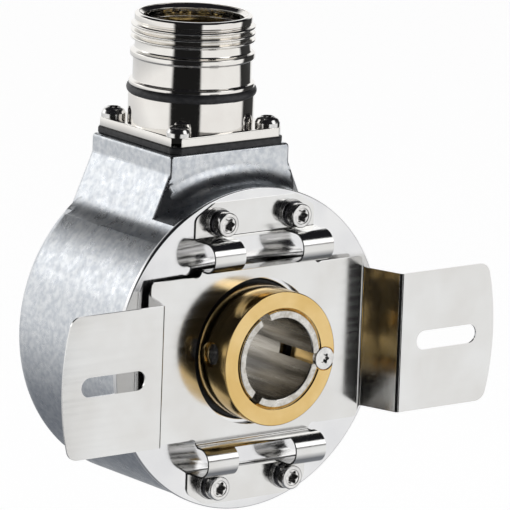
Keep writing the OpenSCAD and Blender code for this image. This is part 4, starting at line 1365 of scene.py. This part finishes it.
ring_profile = [(COLLET_R + 0.06, RING_REAR, 0.15), (COLLET_R + 0.06, RING_FRONT + 0.6, 0),
                (COLLET_R + 0.5, RING_FRONT, 0.1), (RING_R, RING_FRONT, 0.22),
                (RING_R, RING_REAR, 0.4)]
ring = spin_part("clamp_ring_turned", round_off(ring_profile, 0, steps=4), 224)
hole_profile = [(0, 0), (CLAMP_HOLE_R, 0), (CLAMP_HOLE_R, 3.85), (CLAMP_HOLE_R + 0.5, 4.6), (0, 4.6)]
hole = spin_part("side_hole", hole_profile, 64, axis="Z")
stand(hole, (0, -math.pi / 2, 0), (-COLLET_R + 0.6, CLAMP_Y, 0))
carve(ring, hole)
carve(ring, lock_seat())
thread_hole = [(0, RING_FRONT), (1.0, RING_FRONT), (1.0, RING_FRONT + 6), (0, RING_FRONT + 6)]
carve(ring, spin_part("lock_thread", thread_hole, 32, (LOCK_X, 0, 0)))
stand(ring, (0, SHAFT_TURN, 0))
hand_over(ring, GOLD, "gold_ring", "rotor", "clamp_ring", smooth=30)

# %% [markdown]
# The lock screw's head lies flush with the ring's face, so only a thin dark gap shows round it, and
# the set screw sits a little below the mouth of its hole.

# %% Screws of the clamp ring
flat_head = [(LOCK_HEAD_R, 0, 0.05), (LOCK_HEAD_R, LOCK_HEAD_H, 0.12), (0, LOCK_HEAD_H, 0)]
lock_screw = make_screw("ring_lock_screw_turned", flat_head, 2.1, LOCK_HEAD_H, 2.0, 4.4)
stand(lock_screw, (math.pi / 2, 0, 0), (LOCK_X, COLLET_FRONT + LOCK_HEAD_H, 0))
stand(lock_screw, (0, SHAFT_TURN, 0))
hand_over(lock_screw, SCREW, "screw_steel", "rotor", "ring_lock_screw", smooth=35)

set_height = RING_R - 0.75 - COLLET_R
set_profile = [(0, 0, 0), (1.2, 0, 0.2), (CLAMP_HOLE_R - 0.05, 0.5, 0.1),
               (CLAMP_HOLE_R - 0.05, set_height - 0.3, 0.1), (CLAMP_HOLE_R - 0.4, set_height, 0.05),
               (0, set_height, 0)]
set_screw = spin_part("clamp_screw_turned", round_off(set_profile, 0, steps=3), 48, axis="Z")
carve(set_screw, star_recess(2.6, set_height, 1.5))
stand(set_screw, (0, -math.pi / 2, 0), (-COLLET_R - 0.03, CLAMP_Y, 0))
stand(set_screw, (0, SHAFT_TURN, 0))
hand_over(set_screw, SCREW, "screw_steel", "rotor", "clamp_screw", smooth=35)

# %% [markdown]
# Two lip seals keep dust out round the shaft. The rear one can be seen from behind: a rubber ring
# with a soft lip that leans on the shaft.

# %% Shaft seals
rear_seal_profile = [(SHAFT_R + 0.06, CUP_END - 1.6, 0.1), (FLOOR_HOLE_R, CUP_END - 2.4, 0),
                     (FLOOR_HOLE_R, CUP_END - 0.45, 0.25), (SHAFT_R + 1.5, CUP_END - 0.45, 0.3),
                     (SHAFT_R + 0.9, CUP_END - 1.0, 0.3), (SHAFT_R + 0.06, CUP_END - 0.7, 0.15)]
rear_seal = spin_part("rear_shaft_seal_lip", round_off(rear_seal_profile, 0, steps=3), 128)
hand_over(rear_seal, RUBBER, "black_rubber", "stator", "rear_shaft_seal", smooth=40)

front_seal_profile = [(COLLET_R + 0.06, 1.2, 0.1), (COLLET_R + 0.06, 2.0, 0.15),
                      (COLLET_R + 1.2, SEAL_DEPTH, 0.2), (SEAL_R, SEAL_DEPTH, 0),
                      (SEAL_R, 0.25, 0.25), (COLLET_R + 1.6, 0.25, 0.3), (COLLET_R + 0.9, 0.9, 0.3)]
front_seal = spin_part("front_shaft_seal_lip", round_off(front_seal_profile, 0, steps=3), 128)
hand_over(front_seal, RUBBER, "black_rubber", "stator", "front_shaft_seal", smooth=40)
